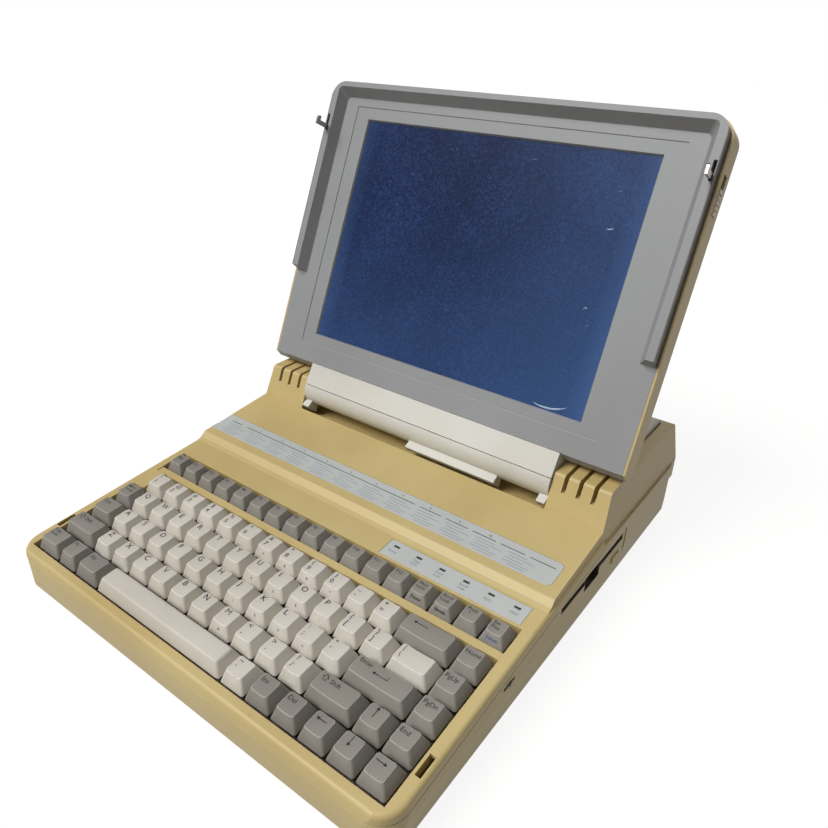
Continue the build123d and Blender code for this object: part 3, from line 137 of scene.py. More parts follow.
# Colours that age and use bring, and colours of painted shade and of a painted reflection
# Colour of the painted shade on the lip's outer walls
LIP_WALL_SHADE = "#574f42"
# Colour of dirt specks, and of painted shade in corners
DIRT_AND_SHADE_COLOUR = "#6d5a38"
DUSTY = "#5d564a"
TARNISHED = "#8c8983"
WORN_INK = "#6f6a62"
# Pale colour of the panel's sides, and of the painted reflection at its lower right
PALE_PANEL_AND_REFLECTION = "#456394"
# The painted shade on the lip's outer walls fades in between these distances from the middle, and these
# heights up the lid
LIP_SHADE_ACROSS = (152.9, 153.3)
LIP_SHADE_ABOVE = (88, 90)
# Where the panel grows paler at both sides, and with a painted reflection to the right and to the foot:
# from, to and how much
PALE_SIDES = (104, 116.5, 0.22)
REFLECTION_RIGHT = (0, 119, 0.3)
REFLECTION_FOOT = (160, 43, 0.28)


def on_lid(material, place):
    """Object coordinates in the lid's own frame, in metres: x across, y up the lid, z out of it."""
    shifted = add(material, "ShaderNodeMapping", {"Vector": place, "Location": (0, -hinge.y, -hinge.z)})
    turned = add(material, "ShaderNodeMapping", {
        "Vector": (shifted, 0), "Rotation": (-math.radians(LID_ANGLE), 0, 0)})
    return turned


def lip_shade_mask(material, place):
    """How much painted shade darkens the lip's outer walls, above the lip's ends."""
    flat = on_lid(material, place)
    spread = add(material, "ShaderNodeSeparateXYZ", {"Vector": (flat, 0)})
    across = add(material, "ShaderNodeMath", {0: (spread, "X")}, operation="ABSOLUTE")
    outer = add(material, "ShaderNodeMapRange", {
        "Value": (across, 0), "From Min": LIP_SHADE_ACROSS[0] * MM, "From Max": LIP_SHADE_ACROSS[1] * MM,
        "To Max": 0.8})
    upper = add(material, "ShaderNodeMapRange", {
        "Value": (spread, "Y"), "From Min": LIP_SHADE_ABOVE[0] * MM, "From Max": LIP_SHADE_ABOVE[1] * MM})
    return add(material, "ShaderNodeMath", {0: (outer, 0), 1: (upper, 0)}, operation="MULTIPLY")


def moulded_plastic(name, light, middle, dark, edge_highlight_and_wear, grain=0.35, depth=0.02, rough=0.48, soft=0.4,
                    dirt_and_shade=0.3, shaded_lip=False):
    """Injection-moulded plastic: slow yellowing, eroded grain, painted shade in corners with specks of dirt,
    and edges painted pale as a highlight and wear.
    """
    material, place = surface(name)
    # Slow clouds say how far the yellowing has gone
    cloud = add(material, "ShaderNodeTexNoise", {
        "Vector": place, "Scale": 1 / (YELLOWING * MM), "Detail": 3.0, "Roughness": 0.55})
    ramp = add(material, "ShaderNodeValToRGB", {"Fac": (cloud, 0)},
               stops=((0.3, dark), (0.5, middle), (0.7, light)))
    body = (ramp, 0)
    # Painted shade on the lip's outer walls
    if shaded_lip:
        lip_shade = lip_shade_mask(material, place)
        lip_shaded = add(material, "ShaderNodeMix", {0: (lip_shade, 0), MIX_A: body, MIX_B: LIP_WALL_SHADE},
                      data_type="RGBA")
        body = (lip_shaded, MIX_OUT)
    # Painted shade in blots where another face stands close, and a few specks of dirt in the open
    blots = add(material, "ShaderNodeTexNoise", {
        "Vector": place, "Scale": 1 / (DIRT_AND_SHADE_BLOT * MM), "Detail": 4.0})
    open_air = add(material, "ShaderNodeAmbientOcclusion", {"Distance": SHADE_REACH * MM}, samples=4,
                   only_local=True)
    corner = add(material, "ShaderNodeMapRange", {
        "Value": (open_air, "AO"), "From Min": 0.5, "From Max": 0.95, "To Min": 2 * dirt_and_shade, "To Max": 0.0})
    blotted_shade = add(material, "ShaderNodeMath", {0: (corner, 0), 1: (blots, 0)}, operation="MULTIPLY")
    speck = add(material, "ShaderNodeMapRange", {
        "Value": (blots, 0), "From Min": 0.68, "From Max": 0.78, "To Max": 0.5 * dirt_and_shade})
    shade_and_specks = add(material, "ShaderNodeMath", {0: (blotted_shade, 0), 1: (speck, 0)}, operation="MAXIMUM")
    shaded_and_specked = add(material, "ShaderNodeMix", {0: (shade_and_specks, 0), MIX_A: body, MIX_B: DIRT_AND_SHADE_COLOUR},
                  data_type="RGBA")
    # A mould's edges are soft; they are painted paler, a painted highlight along them and wear from hands
    edge = add(material, "ShaderNodeBevel", {"Radius": soft * MM}, samples=6)
    unsoftened = add(material, "ShaderNodeNewGeometry")
    turn = add(material, "ShaderNodeVectorMath", {0: (edge, 0), 1: (unsoftened, "Normal")},
               operation="DOT_PRODUCT")
    highlight_and_wear_share = add(material, "ShaderNodeMapRange", {
        "Value": (turn, "Value"), "From Min": 0.99, "From Max": 0.9, "To Max": 0.55})
    colour = add(material, "ShaderNodeMix", {0: (highlight_and_wear_share, 0), MIX_A: (shaded_and_specked, MIX_OUT), MIX_B: edge_highlight_and_wear},
                 data_type="RGBA")
    pits = add(material, "ShaderNodeTexNoise", {"Vector": place, "Scale": 1 / (grain * MM), "Detail": 1.0})
    bump = add(material, "ShaderNodeBump", {
        "Height": (pits, 0), "Strength": 0.25, "Distance": depth * MM, "Normal": (edge, 0)})
    sheen = add(material, "ShaderNodeMapRange", {
        "Value": (cloud, 0), "To Min": rough - 0.06, "To Max": rough + 0.1})
    shader = add(material, "ShaderNodeBsdfPrincipled", {
        "Base Color": (colour, MIX_OUT), "Roughness": (sheen, 0), "Normal": (bump, 0), "IOR": 1.53})
    add(material, "ShaderNodeOutputMaterial", {"Surface": (shader, 0)})
    return material


def dark_recess(name, colour):
    """Matt dark plastic, painted metal or board inside the machine, with blots of dust; also dark tubes of
    painted shade in the disk slot.
    """
    material, place = surface(name)
    dust = add(material, "ShaderNodeTexNoise", {"Vector": place, "Scale": 1 / (DUST * MM), "Detail": 4.0})
    body = add(material, "ShaderNodeValToRGB", {"Fac": (dust, 0)}, stops=((0.35, colour), (0.75, DUSTY)))
    bump = add(material, "ShaderNodeBump", {"Height": (dust, 0), "Strength": 0.2, "Distance": 0.05 * MM})
    shader = add(material, "ShaderNodeBsdfPrincipled", {
        "Base Color": (body, 0), "Roughness": 0.6, "Normal": (bump, 0), "IOR": 1.5})
    add(material, "ShaderNodeOutputMaterial", {"Surface": (shader, 0)})
    return material


def rolled_metal(name, colour, rough, scratch):
    """Sheet or plated metal: fine rolling lines, stretched along x, and a little tarnish."""
    material, place = surface(name)
    stretch = add(material, "ShaderNodeMapping", {"Vector": place, "Scale": (1.0, 12.0, 12.0)})
    lines = add(material, "ShaderNodeTexNoise", {
        "Vector": (stretch, 0), "Scale": 1 / (scratch * MM), "Detail": 3.0})
    blots = add(material, "ShaderNodeTexNoise", {
        "Vector": place, "Scale": 1 / (TARNISH * MM), "Detail": 3.0})
    body = add(material, "ShaderNodeValToRGB", {"Fac": (blots, 0)}, stops=((0.35, TARNISHED), (0.6, colour)))
    gloss = add(material, "ShaderNodeMapRange", {
        "Value": (lines, 0), "To Min": rough - 0.08, "To Max": rough + 0.12})
    bump = add(material, "ShaderNodeBump", {"Height": (lines, 0), "Strength": 0.15, "Distance": 0.01 * MM})
    shader = add(material, "ShaderNodeBsdfPrincipled", {
        "Base Color": (body, 0), "Metallic": 1.0, "Roughness": (gloss, 0), "Normal": (bump, 0)})
    add(material, "ShaderNodeOutputMaterial", {"Surface": (shader, 0)})
    return material


def ink(name, colour):
    """Screen-printed or dye ink: flat and a little worn through; also flat painted highlights on cap edges
    and creases.
    """
    material, place = surface(name)
    wear = add(material, "ShaderNodeTexNoise", {
        "Vector": place, "Scale": 1 / (INK_WEAR * MM), "Detail": 3.0})
    body = add(material, "ShaderNodeValToRGB", {"Fac": (wear, 0)}, stops=((0.55, colour), (0.85, WORN_INK)))
    shader = add(material, "ShaderNodeBsdfPrincipled", {
        "Base Color": (body, 0), "Roughness": 0.55, "IOR": 1.5})
    add(material, "ShaderNodeOutputMaterial", {"Surface": (shader, 0)})
    return material


def display(name):
    """Unlit liquid-crystal panel behind its clear front: blue, mottled by the aged polariser film, with a
    painted reflection paler towards its lower right.
    """
    material, place = surface(name)
    flat = on_lid(material, place)
    crinkle = add(material, "ShaderNodeTexNoise", {
        "Vector": (flat, 0), "Scale": 1 / (FILM_CRINKLE * MM), "Detail": 4.0, "Roughness": 0.7,
        "Distortion": 0.8})
    cloud = add(material, "ShaderNodeTexNoise", {
        "Vector": (flat, 0), "Scale": 1 / (FILM_CLOUD * MM), "Detail": 3.0})
    drift = add(material, "ShaderNodeMath", {0: (cloud, 0), 1: 0.3, 2: 0.35}, operation="MULTIPLY_ADD")
    total = add(material, "ShaderNodeMath", {0: (crinkle, 0), 1: (drift, 0)}, operation="ADD")
    half = add(material, "ShaderNodeMath", {0: (total, 0), 1: 0.5}, operation="MULTIPLY")
    body = add(material, "ShaderNodeValToRGB", {"Fac": (half, 0)},
               stops=((0.38, "#0f1831"), (0.5, "#1b294b"), (0.62, "#33497d")))
    # The panel is paler at both sides, and a painted reflection makes it paler towards its right side and
    # its foot
    spread = add(material, "ShaderNodeSeparateXYZ", {"Vector": (flat, 0)})
    across = add(material, "ShaderNodeMath", {0: (spread, "X")}, operation="ABSOLUTE")
    pale = 0.0
    for distance, (start, full, most) in (((across, 0), PALE_SIDES), ((spread, "X"), REFLECTION_RIGHT),
                                          ((spread, "Y"), REFLECTION_FOOT)):
        share = add(material, "ShaderNodeMapRange", {
            "Value": distance, "From Min": start * MM, "From Max": full * MM, "To Max": most})
        sum_so_far = add(material, "ShaderNodeMath", {0: (share, 0), 1: pale}, operation="ADD",
                         use_clamp=True)
        pale = (sum_so_far, 0)
    colour = add(material, "ShaderNodeMix", {0: pale, MIX_A: (body, 0), MIX_B: PALE_PANEL_AND_REFLECTION},
                 data_type="RGBA")
    bump = add(material, "ShaderNodeBump", {"Height": (crinkle, 0), "Strength": 0.5, "Distance": 0.15 * MM})
    shader = add(material, "ShaderNodeBsdfPrincipled", {
        "Base Color": (colour, MIX_OUT), "Roughness": 0.4, "Normal": (bump, 0), "IOR": 1.49,
        "Specular IOR Level": 0.08})
    add(material, "ShaderNodeOutputMaterial", {"Surface": (shader, 0)})
    return material


# Materials of the object

# ABS moulded with a fine grain: matt and warm, yellowed unevenly by age
CASE = moulded_plastic("yellowed_abs_housing", "#cdb87f", "#c6b077", "#bda66c", "#dccb9d")
# Grey ABS: cooler and hardly yellowed, with painted shade on the lip's outer walls
FRAME = moulded_plastic("grey_abs_screen_frame", "#929394", "#8f9090", "#8c8c8c", "#b2b2b1", rough=0.5,
                        dirt_and_shade=0.1, shaded_lip=True)
# Cream ABS of the two slides: clearly paler than the lid's side that they sit in
KNOB = moulded_plastic("cream_abs_lid_slides", "#e6dac3", "#dfd2bb", "#d6c8b0", "#eee4d2", dirt_and_shade=0.2)
# Off-white ABS of the neck and the battery cover: nearly white, a little grey
PALE = moulded_plastic("off_white_abs_covers", "#d6d4cb", "#d0cdc3", "#c7c3b7", "#e0dfd9", dirt_and_shade=0.15)
# PBT of the key caps, in two colours: dry and chalky, with a coarser grain than the case
CREAM_CAP = moulded_plastic("cream_pbt_keycap", "#d1cbbf", "#cbc4b7", "#c3bcad", "#e6e2d9", grain=0.5,
                            depth=0.04, rough=0.6, soft=0.5, dirt_and_shade=0.15)
GREY_CAP = moulded_plastic("warm_grey_pbt_keycap", "#908b82", "#89847b", "#807a71", "#b0aba4", grain=0.5,
                           depth=0.04, rough=0.6, soft=0.5, dirt_and_shade=0.15)
# Black ABS of the wheel, the switch and the socket blocks: dark, with a soft shine
BLACK = moulded_plastic("black_abs_small_parts", "#3a3835", "#32302e", "#2a2826", "#4a4744", rough=0.45,
                        dirt_and_shade=0.1)
# Dark ABS of the battery's case: brownish black and dull
BATTERY = moulded_plastic("dark_abs_battery_case", "#4a4744", "#43403d", "#3c3936", "#55524e", rough=0.5)
# Printed card under clear PVC: smooth, low gloss and faintly blue
PAPER = moulded_plastic("printed_card_under_clear_pvc", "#c3c6c1", "#bdc0bb", "#b5b9b5", "#cdd0cc",
                        grain=1.0, depth=0.01, rough=0.3, dirt_and_shade=0.1)
# Smoked acrylic over lamps that are off: dark olive and glossy
LAMP = moulded_plastic("smoked_acrylic_lamps", "#4d5048", "#45483f", "#3a3d36", "#5a5d55", rough=0.2,
                       dirt_and_shade=0.05)
# Rubber feet: black, pitted and almost without a highlight
RUBBER = moulded_plastic("black_rubber_feet", "#2c2b2a", "#262524", "#201f1e", "#333231", grain=0.6,
                         depth=0.05, rough=0.8)
# Glass-epoxy board: dark green and dull
BOARD = dark_recess("green_glass_epoxy_board", "#2e4a2f")
# Moulded switch bodies: dark brown, seen only as a shadow between the caps
SHADOWED = dark_recess("brown_switch_bodies", "#3c352b")
# Painted shade in the slot and the finger notch: dark tubes, brown in the slot and nearly black in the
# notch, where no light falls
SLOT_SHADE = dark_recess("painted_shade_in_disk_slot", "#4a3b29")
NOTCH_SHADE = dark_recess("painted_shade_in_finger_notch", "#1d1712")
# Painted steel frame behind the panel: dark grey
MODULE = dark_recess("painted_display_frame", "#2b2b2d")
# Zinc-plated sheet steel: soft grey shine with fine rolling lines
STEEL = rolled_metal("zinc_plated_steel", "#b9b6ae", rough=0.38, scratch=2.0)
# Gold-flashed pins: small warm glints
PIN_METAL = rolled_metal("gold_flashed_contact_pins", "#d9b566", rough=0.3, scratch=1.0)
# Chromed steel hooks: the brightest metal of the object
CHROME = rolled_metal("chromed_steel_hook", "#a9a9a8", rough=0.26, scratch=1.0)
# Liquid-crystal panel that is off: deep blue, mottled, with hardly any mirror shine; a painted reflection
# pales it towards its lower right
GLASS = display("unlit_blue_lcd_panel")
# Creased film: a thin pale line, a painted highlight where the raised edge catches light
CREASE_HIGHLIGHT = ink("painted_crease_highlight", "#9fb2cc")
# Dye ink in the caps: flat black, and blue for one second meaning
LEGEND = ink("black_key_legend_ink", "#24211f")
BLUE_LEGEND = ink("blue_key_legend_ink", "#3f63a6")
# Edges of the cap tops, rubbed smooth by fingers: painted paler than the cap, as a painted highlight and
# wear
CREAM_EDGE_HIGHLIGHT_AND_WEAR = ink("rubbed_and_highlit_cream_edge", "#e2ddd3")
GREY_EDGE_HIGHLIGHT_AND_WEAR = ink("rubbed_and_highlit_grey_edge", "#aaa59e")
# Screen-printed inks of the strip and the lamp plate: dark blue grey, and a faint grey
STRIP_INK = ink("blue_grey_strip_ink", "#2f3b4b")
FAINT_INK = ink("faint_grey_print", "#7c8a9c")

FINISHES = {
    "lower_housing": CASE, "upper_housing": CASE, "lid_back_shell": CASE, "lid_bezel": FRAME,
    "label_strip": PAPER, "lamp_plate": PAPER, "lamps": LAMP, "key_plate": STEEL, "key_switches": SHADOWED,
    "key_board": BOARD, "hinge_left": STEEL, "hinge_right": STEEL, "floppy_drive": CASE,
    "battery_cover": PALE, "battery_pack": BATTERY, "rear_sockets": STEEL, "main_board": BOARD,
    "rubber_feet": RUBBER, "case_screws": STEEL, "lcd_window": GLASS, "lcd_module": MODULE,
    "neck_barrel": PALE, "neck_panel": PALE, "latch_hook_left": CHROME, "latch_hook_right": CHROME,
    "latch_knob_left": KNOB, "latch_knob_right": KNOB, "eject_button": CASE, "contrast_wheel": BLACK,
    "power_switch": BLACK,
}

for name, material in FINISHES.items():
    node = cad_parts[name]
    if node.data.materials:
        for i in range(len(node.data.materials)):
            node.data.materials[i] = material
    else:
        node.data.materials.append(material)


# Modelling helpers

# A face looks along an axis when its normal's share of it is above this
FACING = 0.9
# A point this near to an end of a piece is on it
NEAR = 0.01
# Faces that meet at less than this shade as one
SMOOTH = math.radians(35)
# Share of the size by which a letter's stroke is made bolder
BOLDER = 0.008
# Letters that a bolder stroke would fill
CLOSE_LETTERS = set("M&%#@")
# Head and shaft of a printed arrow
HEAD_LENGTH = 1.9
HEAD_HALF = 1.1
SHAFT_HALF = 0.25


def deselect():
    """Leave edit mode and select nothing."""
    if bpy.context.object and bpy.context.object.mode != "OBJECT":
        bpy.ops.object.mode_set(mode="OBJECT")
    bpy.ops.object.select_all(action="DESELECT")


def finish_with(piece, material):
    """Give a piece one material."""
    piece.data.materials.clear()
    piece.data.materials.append(material)


def settle(piece, place, body, name):
    """Put a finished piece where it belongs, with its place in its mesh."""
    piece.data.transform(place @ piece.matrix_world)
    piece.matrix_world = Matrix.Identity(4)
    piece.name = name
    piece.data.name = name
    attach(piece, body)
    return piece


def in_edit(piece, choose_faces=None, choose_edges=None):
    """Enter edit mode with only the chosen faces or edges selected."""
    bpy.ops.object.mode_set(mode="EDIT")
    bpy.ops.mesh.select_mode(type="FACE" if choose_faces else "EDGE")
    bpy.ops.mesh.select_all(action="DESELECT")
    mesh = bmesh.from_edit_mesh(piece.data)
    for part in (mesh.faces if choose_faces else mesh.edges):
        part.select = (choose_faces or choose_edges)(part)
    mesh.select_flush_mode()
    bmesh.update_edit_mesh(piece.data)


def block(x, y, z):
    """A block between its ranges on the three axes."""
    deselect()
    bpy.ops.mesh.primitive_cube_add(size=1, location=(sum(x) / 2, sum(y) / 2, sum(z) / 2))
    piece = bpy.context.object
    piece.scale = (x[1] - x[0], y[1] - y[0], z[1] - z[0])
    bpy.ops.object.transform_apply(location=True, scale=True)
    return piece


def inner_wall(piece, thickness):
    """Give an open shell a wall that grows inwards."""
    wall = piece.modifiers.new("wall", "SOLIDIFY")
    wall.thickness = thickness
    wall.offset = -1
    bpy.ops.object.modifier_apply(modifier="wall")


def own_copy(piece):
    """A copy with its own mesh."""
    copied = piece.copy()
    copied.data = piece.data.copy()
    bpy.context.collection.objects.link(copied)
    return copied


def words(text, size, x, y, anchor="LEFT"):
    """Flat lettering as a mesh, its left end or its middle at x and its middle line at y."""
    deselect()
    bpy.ops.object.text_add(location=(0, 0, 0))
    line = bpy.context.object
    line.data.body = text
    line.data.size = size
    line.data.offset = 0 if CLOSE_LETTERS & set(text) else BOLDER * size
    line.data.align_x = anchor
    line.data.align_y = "CENTER"
    line.data.resolution_u = 3
    bpy.ops.object.convert(target="MESH")
    line = bpy.context.object
    line.data.transform(Matrix.Translation((x, y, 0)))
    return line


def shape(points):
    """A flat printed shape from its corner points."""
    mesh = bpy.data.meshes.new("print")
    mesh.from_pydata([(x, y, 0) for x, y in points], [], [tuple(range(len(points)))])
    piece = bpy.data.objects.new("print", mesh)
    bpy.context.collection.objects.link(piece)
    return piece


def bar(x0, x1, y0, y1):
    """A flat printed bar."""
    return shape([(x0, y0), (x1, y0), (x1, y1), (x0, y1)])


def arrow(length, turn, x, y):
    """A printed arrow with its middle at x and y, pointing along turn degrees."""
    tip = length / 2
    neck = tip - HEAD_LENGTH
    piece = shape([(-tip, -SHAFT_HALF), (neck, -SHAFT_HALF), (neck, -HEAD_HALF), (tip, 0),
                   (neck, HEAD_HALF), (neck, SHAFT_HALF), (-tip, SHAFT_HALF)])
    piece.data.transform(Matrix.Translation((x, y, 0)) @ Matrix.Rotation(math.radians(turn), 4, "Z"))
    return piece


def join(pieces):
    """Several pieces as one object."""
    deselect()
    for piece in pieces:
        piece.select_set(True)
    bpy.context.view_layer.objects.active = pieces[0]
    if len(pieces) > 1:
        bpy.ops.object.join()
    return bpy.context.object


# Key caps

# Rows from the front: node, width in units and legend; of two signs, the first is the rear one
ROWS = [
    [("key_caps_lock", 1.25, "Caps\nLock"), ("key_fn", 1, "Fn"), ("key_alt", 1.25, "Alt"),
     ("key_space", 6, ""), ("key_grave", 1, "~`"), ("key_insert", 1, "Ins"), ("key_delete", 1, "Del"),
     ("key_left", 1, "<-"), ("key_down", 1, "v-"), ("key_right", 1, "->")],
    [("key_shift_left", 1.75, "Shift")]
    + [("keys_lower_letters", 1, sign) for sign in ("Z", "X", "C", "V", "B", "N", "M", "<,", ">.", "?/")]
    + [("key_shift_right", 1.75, "Shift"), ("key_up", 1, "^-"), ("key_end", 1, "End")],
    [("key_control", 1.25, "Ctrl")]
    + [("keys_home_letters", 1, sign)
       for sign in ("A", "S", "D", "F", "G", "H", "J", "K", "L", ":;", "\"'")]
    + [("key_enter", 2.25, "Enter"), ("key_page_down", 1, "PgDn")],
    [("key_tab", 1, "Tab")]
    + [("keys_upper_letters", 1, sign)
       for sign in ("Q", "W", "E", "R", "T", "Y", "U", "I", "O", "P", "{[", "}]")]
    + [("key_backslash", 1.5, "|\\"), ("key_page_up", 1, "PgUp")],
    [(None, 0.5, "")]
    + [("keys_numbers", 1, sign)
       for sign in ("!1", "@2", "#3", "$4", "%5", "^6", "&7", "*8", "(9", ")0", "_-", "+=")]
    + [("key_backspace", 2, "<-"), ("key_home", 1, "Home")],
]
FUNCTION_ROW = (
    [("key_escape", "Esc")] + [("keys_functions", f"F{i}") for i in range(1, 13)]
    + [("keys_locks", text) for text in ("Num\nLock", "Scroll\nLock", "PrtSc\n  *", "Sys\nReq")])
CREAM_NODES = {"key_space", "key_grave", "keys_lower_letters", "keys_home_letters", "keys_upper_letters",
               "key_backslash", "keys_numbers"}

# Rounding of a cap: its upright corners, and its top's edge where the cap is short or long
CAP_CORNER = 1.6
SHORT_CAP_EDGE = 0.3
LONG_CAP_EDGE = 1.3
LONG_CAP = 3 * PITCH
# Scoop of the top: how deep at its middle line, how far down the sides it reaches, and in how many steps
SCOOP = 0.8
LONG_CAP_SCOOP = 0.15
SCOOP_REACH = 3.0
SCOOP_STEPS = 8


def keycap_blank(width, depth, height, dish):
    """One key cap: a drawn-in block with rounded corners and a scooped top, whose edge is slot 2, painted
    pale as a highlight and wear.
    """
    across = width - KEY_GAP
    along = depth - KEY_GAP
    cap = block((-across / 2, across / 2), (-along / 2, along / 2), (0, height))
    cap.data.materials.append(CREAM_CAP)
    cap.data.materials.append(CREAM_EDGE_HIGHLIGHT_AND_WEAR)
    in_edit(cap, choose_faces=lambda f: f.normal.z > FACING)
    shrink = ((across - KEY_DRAW) / across, (along - KEY_DRAW) / along, 1)
    bpy.ops.transform.resize(value=shrink, center_override=(0, 0, height))
    # The upright corner edges
    in_edit(cap, choose_edges=lambda e: abs((e.verts[0].co - e.verts[1].co).z) > height / 2)
    bpy.ops.mesh.bevel(offset=CAP_CORNER, segments=4, affect="EDGES")
    # Cuts that let the top be scooped
    reach = (across - KEY_DRAW) / 2
    for i in range(1, SCOOP_STEPS):
        bpy.ops.mesh.select_all(action="SELECT")
        x = -reach + 2 * reach * i / SCOOP_STEPS
        bpy.ops.mesh.bisect(plane_co=(x, 0, 0), plane_no=(1, 0, 0))
    # The edge round the top: sharp on a short cap and painted pale there, a painted highlight and wear;
    # round on the space bar
    in_edit(cap, choose_edges=lambda e: all(v.co.z > height - NEAR for v in e.verts)
            and any(f.normal.z < FACING for f in e.link_faces))
    if width < LONG_CAP:
        bpy.ops.mesh.bevel(offset=SHORT_CAP_EDGE, segments=2, affect="EDGES", material=1)
    else:
        bpy.ops.mesh.bevel(offset=LONG_CAP_EDGE, segments=4, affect="EDGES")
    bpy.ops.object.mode_set(mode="OBJECT")
    for v in cap.data.vertices:
        top = max(0.0, min(1.0, (v.co.z - height + SCOOP_REACH) / SCOOP_REACH))
        v.co.z -= dish * max(0.0, 1 - (v.co.x / reach) ** 2) * top
    bpy.ops.object.shade_smooth_by_angle(angle=SMOOTH)
    return cap


# Legends of the key tops

# Corner of the legend, from the left and the back edge of the top, and its height over the cap
LEGEND_IN = 1.7
LEGEND_DOWN = 2.7
LEGEND_LIFT = 0.05
# Letter size, and the place from the legend's corner
SIGN = (5.3, 0, -0.2)
UPPER_SIGN = (4.6, 0, 0.3)
LOWER_SIGN = (4.6, 0, -4.9)
WORD = (3.9, -0.7, -0.8)
FUNCTION_NAME = (3.3, -0.7, 0.2)
TWO_LINES = (3.2, -0.7, -0.9)
SHIFT_WORD = (3.9, 5.8, -0.8)
ENTER_WORD = (3.9, 0, 0)
# Arrow length, and the place of its middle from the legend's corner; a wide cap gets the longer one
WIDE_CAP = 1.5 * PITCH
SMALL_ARROW = (6.6, 3.0, -0.8)
BACKSPACE_ARROW = (9.5, 7.5, -0.9)
ENTER_ARROW = (10.0, 15.0, -2.6)
TAB_ARROWS = ((180, 7.0, 3.5, 0.0), (0, 7.0, 3.5, -3.2))
# Bars by an arrow: line width, gap before a stop, and how high the tail of the enter arrow turns up
BAR_WIDTH = 0.4
STOP_GAP = 0.1
TAIL_RISE = 2.3
# The hollow shift arrow: its outer and inner corners, and its middle from the legend's corner
SHIFT_OUTER = [(0, 2.3), (2.3, 0), (1.1, 0), (1.1, -1.8), (-1.1, -1.8), (-1.1, 0), (-2.3, 0)]
SHIFT_INNER = [(0, 1.65), (1.35, 0.35), (0.75, 0.35), (0.75, -1.45), (-0.75, -1.45), (-0.75, 0.35),
               (-1.35, 0.35)]
SHIFT_PLACE = (2.3, -0.6)
ARROW_TURNS = {"<-": 180, "v-": 270, "->": 0, "^-": 90}

# Second meanings, on the slope that faces the user: keypad signs, and words under the lock keys
FRONT_LEGENDS = {
    "Num\nLock": "Pause", "Scroll\nLock": "Break", "Sys\nReq": "Setup", "&7": "7", "*8": "8", "(9": "9",
    "U": "4", "I": "5", "O": "6", "J": "1", "K": "2", "L": "3", "M": "0", ">.": ".", ")0": "*", "P": "-",
    ":;": "+"}
BLUE_FRONTS = {"Sys\nReq"}
FRONT_WORD_SIZE = 3.3
FRONT_SIGN_SIZE = 2.4
FRONT_RISE = 0.55
FRONT_LIFT = 0.06


def styled(text, style, left, back):
    """Lettering of a style, from the legend's corner."""
    size, x, y = style
    return words(text, size, left + x, back + y)


def tab_arrows(left, back):
    """Two arrows to the left and the right, each with a stop line at its point."""
    marks = []
    for turn, length, x, y in TAB_ARROWS:
        marks.append(arrow(length, turn, left + x, back + y))
        side = -1 if turn else 1
        tip = left + x + side * length / 2
        ends = sorted((tip + side * STOP_GAP, tip + side * (STOP_GAP + BAR_WIDTH)))
        marks.append(bar(*ends, back + y - HEAD_HALF, back + y + HEAD_HALF))
    return marks


def enter_arrow(left, back):
    """An arrow to the left whose tail turns up."""
    length, x, y = ENTER_ARROW
    tail = left + x + length / 2
    return [arrow(length, 180, left + x, back + y),
            bar(tail - BAR_WIDTH, tail, back + y, back + y + TAIL_RISE)]


def shift_arrow(left, back):
    """A hollow arrow that points to the back."""
    ring = []
    corners = len(SHIFT_OUTER)
    for i in range(corners):
        j = (i + 1) % corners
        ring.append(shape([SHIFT_OUTER[i], SHIFT_OUTER[j], SHIFT_INNER[j], SHIFT_INNER[i]]))
    piece = join(ring)
    piece.data.transform(Matrix.Translation((left + SHIFT_PLACE[0], back + SHIFT_PLACE[1], 0)))
    return piece


def legend(text, width, depth):
    """Printed pieces for one key top, in the key's own centred frame."""
    left = -(width - KEY_GAP - KEY_DRAW) / 2 + LEGEND_IN
    back = (depth - KEY_GAP - KEY_DRAW) / 2 - LEGEND_DOWN
    if not text:
        return []
    if text in ARROW_TURNS:
        length, x, y = BACKSPACE_ARROW if width > WIDE_CAP else SMALL_ARROW
        return [arrow(length, ARROW_TURNS[text], left + x, back + y)]
    if text == "Tab":
        return tab_arrows(left, back)
    if text == "Enter":
        return [styled(text, ENTER_WORD, left, back)] + enter_arrow(left, back)
    if text == "Shift":
        return [shift_arrow(left, back), styled(text, SHIFT_WORD, left, back)]
    if "\n" in text:
        return [styled(text, TWO_LINES, left, back)]
    if len(text) > 1 and text[0] == "F":
        return [styled(text, FUNCTION_NAME, left, back)]
    if len(text) > 2:
        return [styled(text, WORD, left, back)]
    if len(text) == 2:
        return [styled(text[0], UPPER_SIGN, left, back), styled(text[1], LOWER_SIGN, left, back)]
    return [styled(text, SIGN, left, back)]


def front_legend(text, height, depth):
    """Print on the front slope of a cap, in the key's own centred frame."""
    mark = words(text, FRONT_WORD_SIZE if len(text) > 1 else FRONT_SIGN_SIZE, 0, 0, "CENTER")
    rise = FRONT_RISE * height
    draw = KEY_DRAW / 2
    y = -(depth - KEY_GAP) / 2 + draw * rise / height
    lean = math.atan2(height, draw)
    out = Vector((0, -math.sin(lean), math.cos(lean))) * FRONT_LIFT
    mark.data.transform(Matrix.Translation(Vector((0, y, rise)) + out) @ Matrix.Rotation(lean, 4, "X"))
    return mark


# Places of the caps: node, middle, width, depth, height and legend
caps = []
for row, names in enumerate(ROWS):
    u = 0.0
    for name, units, text in names:
        if name:
            middle = KEY_LEFT + (u + units / 2) * PITCH
            caps.append((name, middle, (row + 0.5) * PITCH, units * PITCH, PITCH, CAP_HEIGHT, text))
        u += units
for i, (name, text) in enumerate(FUNCTION_ROW):
    middle = KEY_LEFT + (i + 0.5) * FUNCTION_PITCH
    caps.append((name, middle, FUNCTION_FRONT + FUNCTION_DEPTH / 2, FUNCTION_PITCH, FUNCTION_DEPTH,
                 FUNCTION_CAP_HEIGHT, text))

